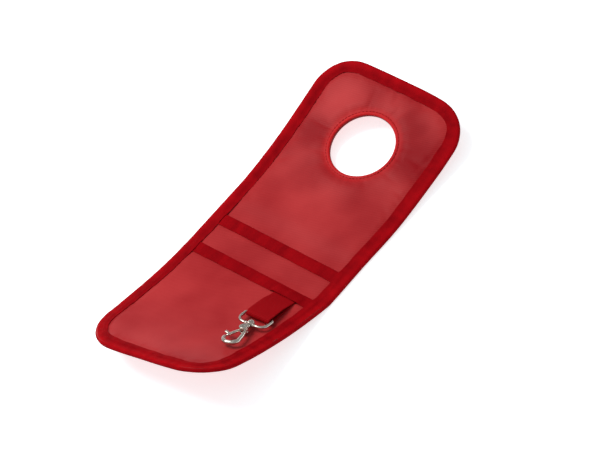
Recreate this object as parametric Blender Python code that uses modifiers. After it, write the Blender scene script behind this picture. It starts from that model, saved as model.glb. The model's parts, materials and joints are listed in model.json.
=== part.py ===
"""Door pouch: a padded cloth panel with a round hanging hole, two stacked flat pockets, bound
edges, and a short webbing loop that carries a swivel snap hook.

Metres, +Z up. The panel lies along Y, pocket end at -Y and hole end at +Y. Every cloth piece is
cut flat in panel coordinates: across (0 on the centre line), along (0 at the pocket end) and
height (0 under the bound edge). bend() then lays it on the curled shape in which it rests.
"""

import math

import bmesh
import bpy
import numpy as np
from mathutils import Matrix, Vector

# Panel outline
PANEL_WIDTH = 0.145
PANEL_LENGTH = 0.340
CORNER_RADIUS = 0.035
HOLE_RADIUS = 0.028
HOLE_TO_END = 0.064
EDGE_TAPE_WIDTH = 0.0108
POCKET_TAPE_WIDTH = 0.0104
INNER_MOUTH = 0.1674
OUTER_MOUTH = 0.1346

# Sheet thicknesses and the air between two sheets that touch
CLOTH = 0.0003
FOAM = 0.0010
TAPE = 0.0004
THREAD = 0.0004
GAP = 0.0003
EDGE_ROUND = 0.0008

# Stitch lines, measured from the edge that they hold
EDGE_STITCH_INSET = 0.0088
MOUTH_STITCH_INSET = 0.0088
HOLE_STITCH_INSET = 0.0032

# Rest shape: flat in the middle, both ends curl up, and the pocket end also twists
FLAT_START = 0.140
FLAT_END = 0.200
POCKET_CURL = 0.312
POCKET_CURL_POWER = 0.9
POCKET_TWIST = 0.223
POCKET_TWIST_POWER = 1.03
HOLE_CURL = 0.321
HOLE_CURL_POWER = 0.73
HOLE_TWIST = -0.089
HOLE_TWIST_POWER = 1.5

# Webbing loop
WEBBING = 0.0010
STRAP_WIDTH = 0.0224
STRAP_LENGTH = 0.0292
STRAP_TO_EDGE = 0.0322
STRAP_HEADING = math.radians(5.0)
STRAP_YAW_ROOM = 0.0010
STRAP_SEWN_LENGTH = 0.0065
STRAP_LIFT = 0.0012
STRAP_ARCH = 0.0012
TAIL_LENGTH = 0.0075
BUMP_RAMP = 0.0040

# Swivel eye
EYE_WIRE_RADIUS = 0.00125
EYE_SIDE_ROOM = 0.0004
EYE_DEPTH = 0.0130
EYE_CORNER_RADIUS = 0.0070
LOOP_ROOM = 0.00065
HUB_RADIUS = 0.0030
HUB_LENGTH = 0.0038
RUNNING_GAP = 0.0003

# Snap hook
HOOK_LENGTH = 0.0430
HOOK_HEADING = math.radians(8.0)
HOOK_LIFT = 0.0034
HOOK_WIRE_RADIUS = 0.0015
CLAW_RADIUS = 0.0068
CLAW_START_ANGLE = math.radians(168.0)
CLAW_TIP_ANGLE = math.radians(4.0)
CLAW_SWELL = 0.25
CLAW_TIP_TAPER = (0.9, 0.55)
SHANK_OFFSET = 0.00198
SHANK_BOW = 0.0007
STEM_RADIUS = 0.0015
STEM_HEAD_RADIUS = 0.0027
STEM_HEAD_LENGTH = 0.0020
STEM_HEAD_CROWN = 0.6
COLLAR_RADIUS = 0.0024
COLLAR_CHAMFER = 0.0007
BOSS_RADIUS = 0.0036
BOSS_HEIGHT = 0.0058
BOSS_ALONG = 0.0208
SLOT_HEIGHT = 0.0031
PIN_OFFSET = 0.0008
PIN_RADIUS = 0.0007
PIN_PROUD = 0.0003
GATE_EYELET_RADIUS = 0.0021
GATE_EYELET_HEIGHT = 0.0014
GATE_WIRE_RADIUS = 0.00125
GATE_TAB_LENGTH = 0.0050
GATE_TAB_SHAPE = {0.0: 0.75, 0.4: 0.8, 0.8: 1.0, 1.0: 0.8}
SPRING_WIRE = 0.00028
SPRING_TURNS = 2.5

# Fineness of the cells into which cloth is cut before it is bent, and of round shapes
CELL_ALONG = 0.0120
CELL_ACROSS = 0.0180
CORNER_SEGMENTS = 7
HOLE_SEGMENTS = 48
CUTTER_OVERRUN = 0.0040

# Places that follow the panel's size
HOLE_ALONG = PANEL_LENGTH - HOLE_TO_END
STRAP_ACROSS = PANEL_WIDTH / 2 - STRAP_TO_EDGE

# Heights of the stacked sheets
BACK_FLOOR = TAPE + GAP
FOAM_FLOOR = BACK_FLOOR + CLOTH + GAP
FRONT_FLOOR = FOAM_FLOOR + FOAM + GAP
INNER_FLOOR = FRONT_FLOOR + CLOTH + GAP
OUTER_FLOOR = INNER_FLOOR + CLOTH + GAP
OUTER_TOP = OUTER_FLOOR + CLOTH
THICKNESS = OUTER_TOP + GAP + TAPE + GAP + TAPE
SHEET_INSET = TAPE + GAP
STRAP_END_ALONG = OUTER_MOUTH - POCKET_TAPE_WIDTH - STRAP_YAW_ROOM
LOOP_INNER_RADIUS = EYE_WIRE_RADIUS + LOOP_ROOM
LOOP_OUTER_RADIUS = LOOP_INNER_RADIUS + WEBBING


# ---------------------------------------------------------------- rest shape of the cloth

def curl(along):
    """Slope along the panel and roll across it, in radians, at a place along the panel."""
    pocket = np.clip((FLAT_START - along) / FLAT_START, 0.0, None)
    hole = np.clip((along - FLAT_END) / (PANEL_LENGTH - FLAT_END), 0.0, None)
    slope = HOLE_CURL * hole**HOLE_CURL_POWER - POCKET_CURL * pocket**POCKET_CURL_POWER
    roll = HOLE_TWIST * hole**HOLE_TWIST_POWER + POCKET_TWIST * pocket**POCKET_TWIST_POWER
    return slope, roll


def spine():
    """The panel's middle line as arrays: distance along it, Y and Z."""
    along = np.linspace(-0.02, PANEL_LENGTH + 0.02, 761)
    slope, _ = curl(along)
    step = np.diff(along)
    y = np.concatenate([[0.0], np.cumsum(step * (np.cos(slope[1:]) + np.cos(slope[:-1])) / 2)])
    z = np.concatenate([[0.0], np.cumsum(step * (np.sin(slope[1:]) + np.sin(slope[:-1])) / 2)])
    middle = (FLAT_START + FLAT_END) / 2
    return along, y - np.interp(middle, along, y), z - np.interp(middle, along, z)


SPINE = spine()


def cloth_axes(along):
    """Unit vectors across the cloth, along it and off its upper face."""
    slope, roll = (float(angle) for angle in curl(along))
    across = Vector((
        math.cos(roll), -math.sin(roll) * math.sin(slope), math.sin(roll) * math.cos(slope),
    ))
    normal = Vector((
        -math.sin(roll), -math.cos(roll) * math.sin(slope), math.cos(roll) * math.cos(slope),
    ))
    return across, normal.cross(across), normal


def bend(across, along, height):
    """World position of a point given in panel coordinates."""
    side, _, normal = cloth_axes(along)
    fixed = -PANEL_WIDTH / 2 if along < (FLAT_START + FLAT_END) / 2 else 0.0
    middle = THICKNESS / 2
    point = Vector((fixed, np.interp(along, *SPINE[:2]), np.interp(along, SPINE[0], SPINE[2])))
    return point + side * (across - fixed) + normal * (height - middle) + Vector((0, 0, middle))


def ramp(value, start, end):
    """Smooth rise from 0 at start to 1 at end."""
    t = min(max((value - start) / (end - start), 0.0), 1.0)
    return t * t * (3.0 - 2.0 * t)


def strap_bump(across, along):
    """How far the sewn-in webbing lifts the tape that covers it."""
    half = STRAP_WIDTH / 2 + GAP
    distance = abs(across - STRAP_ACROSS)
    over = 1.0 - ramp(distance, half, half + BUMP_RAMP)
    tail_end = STRAP_END_ALONG + STRAP_YAW_ROOM + TAIL_LENGTH
    return (2 * WEBBING + GAP) * over * (1.0 - ramp(along, tail_end, OUTER_MOUTH))


def bump_places():
    """Places across at which the tape over the webbing is cut, so that it can rise."""
    half = STRAP_WIDTH / 2 + GAP
    steps = (0.0, BUMP_RAMP / 2, BUMP_RAMP)
    return [STRAP_ACROSS + side * (half + step) for side in (-1, 1) for step in steps]


# ---------------------------------------------------------------- scene helpers

def clear_scene():
    for old in list(bpy.data.objects):
        bpy.data.objects.remove(old, do_unlink=True)


def new_collection(name):
    collection = bpy.data.collections.new(name)
    bpy.context.scene.collection.children.link(collection)
    return collection


def make_material(name, colour, roughness, metallic=0.0):
    material = bpy.data.materials.new(name)
    material.use_nodes = True
    shader = material.node_tree.nodes["Principled BSDF"]
    shader.inputs["Base Color"].default_value = (*colour, 1.0)
    shader.inputs["Roughness"].default_value = roughness
    shader.inputs["Metallic"].default_value = metallic
    return material


def add_object(name, mesh, collection, material=None, parent=None):
    obj = bpy.data.objects.new(name, mesh)
    collection.objects.link(obj)
    if material:
        mesh.materials.clear()
        mesh.materials.append(material)
    obj.parent = parent
    return obj


def add_axis(name, frame, parent, collection):
    """An empty that stands on a joint's axis. Its frame is given in world space."""
    empty = bpy.data.objects.new(name, None)
    empty.empty_display_size = 0.01
    collection.objects.link(empty)
    empty.parent = parent
    empty.matrix_parent_inverse = parent.matrix_world.inverted()
    empty.matrix_world = frame
    bpy.context.view_layer.update()
    return empty


def add_cutter(name, mesh, cutters):
    cutter = add_object(name, mesh, cutters)
    cutter.hide_render = True
    cutter.display_type = "WIRE"
    return cutter


def finished_mesh(obj):
    """The object's evaluated mesh in its own space, welded. The object is removed."""
    depsgraph = bpy.context.evaluated_depsgraph_get()
    mesh = bpy.data.meshes.new_from_object(obj.evaluated_get(depsgraph))
    mesh.name = obj.name
    bpy.data.objects.remove(obj, do_unlink=True)
    shape = bmesh.new()
    shape.from_mesh(mesh)
    bmesh.ops.remove_doubles(shape, verts=shape.verts, dist=1e-6)
    bmesh.ops.recalc_face_normals(shape, faces=shape.faces)
    shape.to_mesh(mesh)
    shape.free()
    return mesh


def combine(mesh, steps, cutters):
    """Boolean steps on a mesh: pairs of an operation and the mesh that it uses."""
    body = add_object(mesh.name, mesh, cutters)
    for operation, tool_mesh in steps:
        tool = add_cutter(f"{body.name}_{tool_mesh.name}", tool_mesh, cutters)
        modifier = body.modifiers.new(operation.lower(), "BOOLEAN")
        modifier.operation = operation
        modifier.object = tool
    return finished_mesh(body)


def shade(mesh, angle):
    mesh.shade_smooth()
    mesh.set_sharp_from_angle(angle=math.radians(angle))


# ---------------------------------------------------------------- flat cloth pieces

def cell_lines():
    """Places along and across at which cloth is cut into cells, so that it can bend."""
    pocket = np.linspace(0.0, FLAT_START, round(FLAT_START / CELL_ALONG) + 1)
    hole_run = PANEL_LENGTH - FLAT_END
    hole = np.linspace(FLAT_END, PANEL_LENGTH, round(hole_run / CELL_ALONG) + 1)
    count = math.ceil(PANEL_WIDTH / 2 / CELL_ACROSS)
    return [*pocket, *hole], [i * CELL_ACROSS for i in range(-count, count + 1)]


def slab(name, sides, ends, heights, corners=(0.0, 0.0), rim=0.0, more_along=(), more_across=()):
    """A flat closed slab cut into cells. corners are the radii at its start and at its end."""
    shape = bmesh.new()
    bmesh.ops.create_cube(shape, size=1.0)
    size = Vector((sides[1] - sides[0], ends[1] - ends[0], heights[1] - heights[0]))
    centre = Vector((sum(sides), sum(ends), sum(heights))) / 2
    bmesh.ops.transform(
        shape, matrix=Matrix.Translation(centre) @ Matrix.Diagonal((*size, 1.0)), verts=shape.verts,
    )
    for radius, at_end in zip(corners, (False, True)):
        if radius > 0.0:
            upright = [
                edge for edge in shape.edges
                if abs(edge.verts[0].co.z - edge.verts[1].co.z) > size.z / 2
                and (edge.verts[0].co.y > centre.y) == at_end
            ]
            bmesh.ops.bevel(
                shape, geom=upright, offset=radius, segments=CORNER_SEGMENTS, profile=0.5,
                affect="EDGES",
            )
    if rim > 0.0:
        level = [
            edge for edge in shape.edges
            if abs(edge.verts[0].co.z - edge.verts[1].co.z) < 1e-7
        ]
        bmesh.ops.bevel(
            shape, geom=level, offset=rim, segments=2, profile=0.5, affect="EDGES",
        )
    along_lines, across_lines = cell_lines()
    cuts = [((0, place, 0), (0, 1, 0)) for place in (*along_lines, *more_along)]
    cuts += [((place, 0, 0), (1, 0, 0)) for place in (*across_lines, *more_across)]
    for place, direction in cuts:
        geometry = [*shape.verts, *shape.edges, *shape.faces]
        bmesh.ops.bisect_plane(shape, geom=geometry, dist=1e-6, plane_co=place, plane_no=direction)
    mesh = bpy.data.meshes.new(name)
    shape.to_mesh(mesh)
    shape.free()
    return mesh


def upright_cylinder(name, centre, radius, heights, segments):
    shape = bmesh.new()
    bmesh.ops.create_cone(
        shape, cap_ends=True, segments=segments, radius1=radius, radius2=radius,
        depth=heights[1] - heights[0],
        matrix=Matrix.Translation((*centre, sum(heights) / 2)),
    )
    mesh = bpy.data.meshes.new(name)
    shape.to_mesh(mesh)
    shape.free()
    return mesh


def lay(mesh, lift=None, lift_above=0.0):
    """Bends a flat mesh onto the panel's rest shape."""
    for vertex in mesh.vertices:
        across, along, height = vertex.co
        if lift and height > lift_above:
            height += lift(across, along)
        vertex.co = bend(across, along, height)
    return mesh


def sheet(name, end, floor, thickness, material, group, round_end=True):
    """A cloth or foam sheet under the edge tape, from the pocket end up to a place along."""
    half = PANEL_WIDTH / 2 - SHEET_INSET
    radius = CORNER_RADIUS - SHEET_INSET
    mesh = slab(
        name, (-half, half), (SHEET_INSET, end), (floor, floor + thickness),
        (radius, radius if round_end else 0.0),
    )
    return add_object(name, mesh, group.parts, material, group.root)


def hole_cutter(heights, grow=0.0):
    return upright_cylinder(
        "hole_cut", (0.0, HOLE_ALONG), HOLE_RADIUS + grow, heights, HOLE_SEGMENTS,
    )


def full_sheet(name, floor, thickness, material, group, rim=None):
    """A sheet as large as the panel, with the hanging hole. rim is the height span of a turned
    lip that lines the hole, for the facing that is folded in around it."""
    obj = sheet(name, PANEL_LENGTH - SHEET_INSET, floor, thickness, material, group)
    mesh = obj.data
    bpy.data.objects.remove(obj, do_unlink=True)
    overrun = (floor - CUTTER_OVERRUN, floor + thickness + CUTTER_OVERRUN)
    wall = CLOTH if rim else 0.0
    steps = []
    if rim:
        steps.append(("UNION", hole_cutter(rim, wall)))
    else:
        steps.append(("DIFFERENCE", hole_cutter(overrun, CLOTH + GAP)))
    if rim:
        steps.append(("DIFFERENCE", hole_cutter(overrun)))
    add_object(name, lay(combine(mesh, steps, group.cutters)), group.parts, material, group.root)


def mouth_tape(name, mouth, floor, material, group, lift=None):
    """Tape folded over a pocket's mouth: a front leg on the sheet, and the fold past its edge."""
    half = PANEL_WIDTH / 2 - SHEET_INSET
    leg_floor = floor + CLOTH + GAP
    places = bump_places() if lift else ()
    tail_end = STRAP_END_ALONG + STRAP_YAW_ROOM + TAIL_LENGTH
    rows = (tail_end, (tail_end + mouth) / 2) if lift else ()
    sides = (-half, half)
    tape = slab(
        name, sides, (mouth - POCKET_TAPE_WIDTH, mouth + GAP + TAPE),
        (floor, leg_floor + TAPE), more_along=rows, more_across=places,
    )
    room = slab(
        "room", (-PANEL_WIDTH, PANEL_WIDTH), (mouth - PANEL_LENGTH, mouth + GAP),
        (floor - CUTTER_OVERRUN, leg_floor), more_along=rows, more_across=places,
    )
    mesh = lay(combine(tape, [("DIFFERENCE", room)], group.cutters), lift, leg_floor - GAP / 2)
    return add_object(name, mesh, group.parts, material, group.root)


def edge_tape(name, material, group):
    """Tape folded over the panel's whole rim, with a C section that opens inward."""
    half = PANEL_WIDTH / 2
    outer = slab(
        name, (-half, half), (0.0, PANEL_LENGTH), (0.0, THICKNESS),
        (CORNER_RADIUS, CORNER_RADIUS), rim=EDGE_ROUND,
    )
    room_half = half - TAPE
    room = slab(
        "room", (-room_half, room_half), (TAPE, PANEL_LENGTH - TAPE), (TAPE, THICKNESS - TAPE),
        (CORNER_RADIUS - TAPE, CORNER_RADIUS - TAPE),
    )
    open_half = half - EDGE_TAPE_WIDTH
    opening = slab(
        "opening", (-open_half, open_half),
        (EDGE_TAPE_WIDTH, PANEL_LENGTH - EDGE_TAPE_WIDTH),
        (-CUTTER_OVERRUN, THICKNESS + CUTTER_OVERRUN),
        (CORNER_RADIUS - EDGE_TAPE_WIDTH, CORNER_RADIUS - EDGE_TAPE_WIDTH),
    )
    steps = [("DIFFERENCE", room), ("DIFFERENCE", opening)]
    mesh = lay(combine(outer, steps, group.cutters))
    return add_object(name, mesh, group.parts, material, group.root)


# ---------------------------------------------------------------- tubes, outlines and turnings

def tube(name, points, radius, closed, collection, resolution=1, radii=None):
    """A round wire through points. Its mesh is returned."""
    curve = bpy.data.curves.new(name, "CURVE")
    curve.dimensions = "3D"
    curve.bevel_depth = radius
    curve.bevel_resolution = resolution
    curve.use_fill_caps = not closed
    spline = curve.splines.new("POLY")
    spline.points.add(len(points) - 1)
    for index, point in enumerate(points):
        spline.points[index].co = (*point, 1.0)
        spline.points[index].radius = radii[index] if radii else 1.0
    spline.use_cyclic_u = closed
    return finished_mesh(add_object(name, curve, collection))


def outline_plate(name, outlines, half_thickness, collection):
    """A flat plate from closed outlines, the first outside and the rest holes in it."""
    curve = bpy.data.curves.new(name, "CURVE")
    curve.dimensions = "2D"
    curve.fill_mode = "BOTH"
    curve.extrude = half_thickness
    for outline in outlines:
        spline = curve.splines.new("POLY")
        spline.points.add(len(outline) - 1)
        for index, (x, y) in enumerate(outline):
            spline.points[index].co = (x, y, 0.0, 1.0)
        spline.use_cyclic_u = True
    return finished_mesh(add_object(name, curve, collection))


def turned(name, profile, collection, segments=24):
    """A solid turned about its own Y axis from (distance out, radius) pairs, both ends on it."""
    mesh = bpy.data.meshes.new(name)
    points = [(radius, out, 0.0) for out, radius in profile]
    mesh.from_pydata(points, [(i, i + 1) for i in range(len(points) - 1)], [])
    obj = add_object(name, mesh, collection)
    screw = obj.modifiers.new("turn", "SCREW")
    screw.axis = "Y"
    screw.steps = segments
    screw.render_steps = segments
    screw.use_merge_vertices = True
    screw.merge_threshold = 1e-5
    return finished_mesh(obj)


def arc(centre, radius, start, end, count):
    """Points on an arc in a plane, both ends included. Angles are in radians."""
    return [
        (centre[0] + radius * math.cos(a), centre[1] + radius * math.sin(a))
        for a in (start + (end - start) * i / (count - 1) for i in range(count))
    ]


# ---------------------------------------------------------------- stitch lines

def rim_path(inset, height):
    """Panel-coordinate points on a rounded rectangle inside the panel's edge."""
    half = PANEL_WIDTH / 2 - inset
    radius = CORNER_RADIUS - inset
    lines = [place for place in cell_lines()[0] if CORNER_RADIUS < place < PANEL_LENGTH - CORNER_RADIUS]
    lines = [CORNER_RADIUS, *lines, PANEL_LENGTH - CORNER_RADIUS]
    cross = [place for place in cell_lines()[1] if abs(place) < half - radius - CELL_ACROSS / 9]
    quarter = math.pi / 2
    inner = half - radius
    far = PANEL_LENGTH - CORNER_RADIUS
    path = [(half, place) for place in lines[:-1]]
    path += arc((inner, far), radius, 0.0, quarter, CORNER_SEGMENTS + 1)
    path += [(place, PANEL_LENGTH - inset) for place in reversed(cross)]
    path += arc((-inner, far), radius, quarter, 2 * quarter, CORNER_SEGMENTS + 1)
    path += [(-half, place) for place in reversed(lines[1:-1])]
    path += arc((-inner, CORNER_RADIUS), radius, 2 * quarter, 3 * quarter, CORNER_SEGMENTS + 1)
    path += [(place, inset) for place in cross]
    path += arc((inner, CORNER_RADIUS), radius, 3 * quarter, 4 * quarter, CORNER_SEGMENTS + 1)[:-1]
    return [(across, along, height) for across, along in path]


def stitch_line(name, path, closed, material, group):
    points = [bend(*point) for point in path]
    mesh = tube(name, points, THREAD / 2, closed, group.cutters, resolution=0)
    add_object(name, mesh, group.parts, material, group.root)


def mouth_stitches(name, mouth, leg_top, material, group, lift=None):
    """A thread along a pocket's mouth tape, over any bump in it."""
    reach = PANEL_WIDTH / 2 - EDGE_TAPE_WIDTH - 2 * GAP
    along = mouth - MOUTH_STITCH_INSET
    height = leg_top + GAP + THREAD / 2
    between = [*cell_lines()[1], *(bump_places() if lift else ())]
    places = [-reach, *sorted(place for place in between if abs(place) < reach), reach]
    path = [(x, along, height + (lift(x, along) if lift else 0.0)) for x in places]
    stitch_line(name, path, False, material, group)


# ---------------------------------------------------------------- webbing and hardware

def frame_at(origin, outward, across):
    """A right-handed frame: Y runs outward, X lies as near to across as it can, Z is up."""
    y = outward.normalized()
    z = across.cross(y).normalized()
    x = y.cross(z)
    return Matrix.Translation(origin) @ Matrix((x, y, z)).transposed().to_4x4()


def hardware_frames():
    """World frames of the strap's sewn end, the eye's bar, and the hook on the same axis."""
    end = (STRAP_ACROSS, STRAP_END_ALONG - WEBBING)
    bar = (
        end[0] + math.sin(STRAP_HEADING) * STRAP_LENGTH,
        end[1] - math.cos(STRAP_HEADING) * STRAP_LENGTH,
    )
    tip = (
        bar[0] + math.sin(HOOK_HEADING) * HOOK_LENGTH,
        bar[1] - math.cos(HOOK_HEADING) * HOOK_LENGTH,
    )
    end_point = bend(*end, OUTER_TOP + GAP + WEBBING)
    bar_point = bend(*bar, OUTER_TOP + STRAP_LIFT + LOOP_OUTER_RADIUS)
    tip_point = bend(*tip, OUTER_TOP + HOOK_LIFT + HOOK_WIRE_RADIUS)
    strap_across = -cloth_axes(end[1])[0]
    strap = frame_at(end_point, bar_point - end_point, strap_across)
    outward = tip_point - bar_point
    turn = Matrix.Rotation(HOOK_HEADING - STRAP_HEADING, 3, strap.col[2].to_3d())
    eye = frame_at(bar_point, outward, turn @ strap.col[0].to_3d())
    hook = frame_at(bar_point, outward, -cloth_axes(tip[1])[0])
    return strap, eye, hook, (bar_point - end_point).length


def strap_outlines(length, end_drop):
    """Side view of the folded webbing: its outside, and the space between its two layers."""
    count = 12
    rise = LOOP_OUTER_RADIUS - WEBBING

    def layer(place, offset, sign):
        t = place / length
        bulge = STRAP_ARCH * math.sin(math.pi * t) ** 2 if sign > 0 else 0.0
        return (place, sign * (offset + rise * ramp(t, 0.0, 1.0)) + bulge - end_drop)

    places = [length * i / count for i in range(count + 1)]
    gap_places = [STRAP_SEWN_LENGTH + (length - STRAP_SEWN_LENGTH) * i / count for i in range(count + 1)]
    half_turn = math.pi / 2
    outside = [layer(place, WEBBING, -1) for place in places[1:-1]]
    outside += arc((length, -end_drop), LOOP_OUTER_RADIUS, -half_turn, half_turn, 12)
    outside += [layer(place, WEBBING, 1) for place in reversed(places[1:-1])]
    outside += arc((0.0, -end_drop), WEBBING, half_turn, 3 * half_turn, 8)
    inside = [layer(place, 0.0, -1) for place in gap_places[:-1]]
    inside += arc((length, -end_drop), LOOP_INNER_RADIUS, -half_turn, half_turn, 12)
    inside += [layer(place, 0.0, 1) for place in reversed(gap_places[1:-1])]
    return outside, inside


def make_strap(length, end_drop, material, group, parent):
    plate = outline_plate(
        "hook_strap", strap_outlines(length, end_drop), STRAP_WIDTH / 2, group.cutters,
    )
    plate.transform(Matrix(((0, 0, 1, 0), (1, 0, 0, 0), (0, 1, 0, 0), (0, 0, 0, 1))))
    shade(plate, 40)
    return add_object("hook_strap", plate, group.parts, material, parent)


def along_y(name, radius, span, collection, segments=24):
    return turned(
        name, [(span[1], 0.0), (span[1], radius), (span[0], radius), (span[0], 0.0)],
        collection, segments,
    )


def eye_outline():
    """The eye's wire as seen from above: a straight bar, two sides and a rounded far side."""
    half = STRAP_WIDTH / 2 + EYE_SIDE_ROOM + EYE_WIRE_RADIUS
    bar_corner = EYE_WIRE_RADIUS
    quarter = math.pi / 2
    far = EYE_DEPTH - EYE_CORNER_RADIUS
    points = arc((half - bar_corner, bar_corner), bar_corner, -quarter, 0.0, 4)
    points += arc((half - EYE_CORNER_RADIUS, far), EYE_CORNER_RADIUS, 0.0, quarter, 8)
    points += arc((EYE_CORNER_RADIUS - half, far), EYE_CORNER_RADIUS, quarter, 2 * quarter, 8)
    points += arc((bar_corner - half, bar_corner), bar_corner, 2 * quarter, 3 * quarter, 4)
    return [(x, y, 0.0) for x, y in points]


def make_eye(material, group, parent):
    ring = tube("swivel_eye", eye_outline(), EYE_WIRE_RADIUS, True, group.cutters, resolution=2)
    span = (EYE_DEPTH - HUB_LENGTH / 2, EYE_DEPTH + HUB_LENGTH / 2)
    hub = along_y("hub", HUB_RADIUS, span, group.cutters)
    overrun = (span[0] - CUTTER_OVERRUN, span[1] + CUTTER_OVERRUN)
    bore = along_y("bore", STEM_RADIUS + RUNNING_GAP, overrun, group.cutters)
    mesh = combine(ring, [("UNION", hub), ("DIFFERENCE", bore)], group.cutters)
    shade(mesh, 35)
    return add_object("swivel_eye", mesh, group.parts, material, parent)


def stem_profile():
    """Head inside the eye, shank through the hub, collar and a neck into the boss."""
    hub_start = EYE_DEPTH - HUB_LENGTH / 2
    hub_end = EYE_DEPTH + HUB_LENGTH / 2
    head_end = hub_start - RUNNING_GAP
    head_start = head_end - STEM_HEAD_LENGTH
    collar = hub_end + RUNNING_GAP
    neck = (collar + BOSS_ALONG) / 2
    return [
        (BOSS_ALONG, 0.0), (BOSS_ALONG, STEM_RADIUS), (neck, STEM_RADIUS),
        (neck - COLLAR_CHAMFER, COLLAR_RADIUS), (collar, COLLAR_RADIUS), (collar, STEM_RADIUS),
        (head_end, STEM_RADIUS), (head_end, STEM_HEAD_RADIUS),
        (head_end - STEM_HEAD_LENGTH * STEM_HEAD_CROWN, STEM_HEAD_RADIUS),
        (head_start, STEM_HEAD_RADIUS * STEM_HEAD_CROWN), (head_start, 0.0),
    ]


def claw_centre():
    return (0.0, HOOK_LENGTH - CLAW_RADIUS)


def claw_path():
    """Centre line of the fixed arm: out of the boss, round the claw and up to its tip."""
    points = arc(claw_centre(), CLAW_RADIUS, CLAW_START_ANGLE, -CLAW_TIP_ANGLE, 18)
    start, first = Vector((-SHANK_OFFSET, BOSS_ALONG)), Vector(points[0])
    straight = [start.lerp(first, t / 4) for t in range(4)]
    bowed = [(p.x - SHANK_BOW * math.sin(math.pi * t / 4), p.y) for t, p in enumerate(straight)]
    return [(x, y, 0.0) for x, y in (*bowed, *points)]


def gate_axis():
    """Where the gate's arm starts, at its pin, and where it ends, short of the claw's tip."""
    pin = Vector((PIN_OFFSET, BOSS_ALONG, 0.0))
    tip = Vector(claw_path()[-1])
    reach = (tip - pin).length - HOOK_WIRE_RADIUS * CLAW_TIP_TAPER[-1] - GATE_WIRE_RADIUS
    return pin, pin + (tip - pin).normalized() * reach


def make_hook(material, group, parent):
    path = claw_path()
    swell = [1.0 + CLAW_SWELL * math.sin(math.pi * i / (len(path) - 1)) for i in range(len(path) - 2)]
    claw = tube(
        "hook_body", path, HOOK_WIRE_RADIUS, False, group.cutters, resolution=2,
        radii=[*swell, *CLAW_TIP_TAPER],
    )
    half = BOSS_HEIGHT / 2
    boss = upright_cylinder("boss", (0.0, BOSS_ALONG), BOSS_RADIUS, (-half, half), 24)
    stem = turned("stem", stem_profile(), group.cutters)
    pin, gate_tip = gate_axis()
    slot = (-SLOT_HEIGHT / 2, SLOT_HEIGHT / 2)
    pocket = upright_cylinder(
        "pocket", pin.xy, GATE_EYELET_RADIUS + RUNNING_GAP, slot, 24,
    )
    way = bpy.data.meshes.new("way")
    shape = bmesh.new()
    bmesh.ops.create_cube(shape, size=1.0)
    reach = 2 * BOSS_RADIUS
    open_side = -GATE_WIRE_RADIUS - RUNNING_GAP + PIN_OFFSET
    width = 3 * BOSS_RADIUS
    centre = (open_side + width / 2, BOSS_ALONG + reach / 2, 0.0)
    scale = Matrix.Diagonal((width, reach, SLOT_HEIGHT, 1.0))
    bmesh.ops.transform(shape, matrix=Matrix.Translation(centre) @ scale, verts=shape.verts)
    shape.to_mesh(way)
    shape.free()
    overrun = (-half - CUTTER_OVERRUN, half + CUTTER_OVERRUN)
    bore = upright_cylinder("bore", pin.xy, PIN_RADIUS + GAP, overrun, 20)
    steps = [
        ("UNION", boss), ("UNION", stem), ("DIFFERENCE", pocket), ("DIFFERENCE", way),
        ("DIFFERENCE", bore),
    ]
    mesh = combine(claw, steps, group.cutters)
    shade(mesh, 35)
    return add_object("hook_body", mesh, group.parts, material, parent)


def make_gate(material, group, parent):
    """The gate in the frame of its pin: an eyelet, an arm and a thumb tab."""
    pin, tip = gate_axis()
    reach = tip - pin
    direction = reach.normalized()
    arm_start = direction * (GATE_EYELET_RADIUS * 0.9)
    points = [arm_start.lerp(reach, i / 5) for i in range(6)]
    arm = tube("gate_lever", points, GATE_WIRE_RADIUS, False, group.cutters, resolution=2)
    floor = -SLOT_HEIGHT / 2 + RUNNING_GAP
    eyelet = upright_cylinder(
        "eyelet", (0.0, 0.0), GATE_EYELET_RADIUS, (floor, floor + GATE_EYELET_HEIGHT), 24,
    )
    bore = upright_cylinder(
        "bore", (0.0, 0.0), PIN_RADIUS + GAP, (-CUTTER_OVERRUN, CUTTER_OVERRUN), 20,
    )
    outward = Vector((direction.y, -direction.x, 0.0))
    tab_root = reach - direction * GATE_WIRE_RADIUS * 1.5
    tab_points = [tab_root + outward * GATE_TAB_LENGTH * t for t in GATE_TAB_SHAPE]
    tab = tube(
        "tab", tab_points, GATE_WIRE_RADIUS, False, group.cutters, resolution=2,
        radii=list(GATE_TAB_SHAPE.values()),
    )
    mesh = combine(arm, [("UNION", eyelet), ("UNION", tab), ("DIFFERENCE", bore)], group.cutters)
    shade(mesh, 35)
    return add_object("gate_lever", mesh, group.parts, material, parent)


def make_pin(material, group, parent):
    pin, _ = gate_axis()
    half = BOSS_HEIGHT / 2 + PIN_PROUD
    mesh = upright_cylinder("gate_pin", pin.xy, PIN_RADIUS, (-half, half), 20)
    shade(mesh, 35)
    return add_object("gate_pin", mesh, group.parts, material, parent)


def make_spring(material, group, parent):
    """A torsion coil round the pin, in the slot beside the gate's eyelet."""
    pin, _ = gate_axis()
    radius = PIN_RADIUS + GAP + SPRING_WIRE / 2
    floor = -SLOT_HEIGHT / 2 + RUNNING_GAP + GATE_EYELET_HEIGHT
    room = SLOT_HEIGHT / 2 - floor
    first = floor + GAP / 2 + SPRING_WIRE / 2
    rise = room - GAP - SPRING_WIRE
    count = round(SPRING_TURNS * 14)
    points = []
    for i in range(count + 1):
        angle = 2 * math.pi * SPRING_TURNS * i / count
        points.append((
            pin.x + radius * math.cos(angle), pin.y + radius * math.sin(angle),
            first + rise * i / count,
        ))
    mesh = tube("gate_spring", points, SPRING_WIRE / 2, False, group.cutters, resolution=1)
    shade(mesh, 50)
    return add_object("gate_spring", mesh, group.parts, material, parent)


# ---------------------------------------------------------------- assembly

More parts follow.
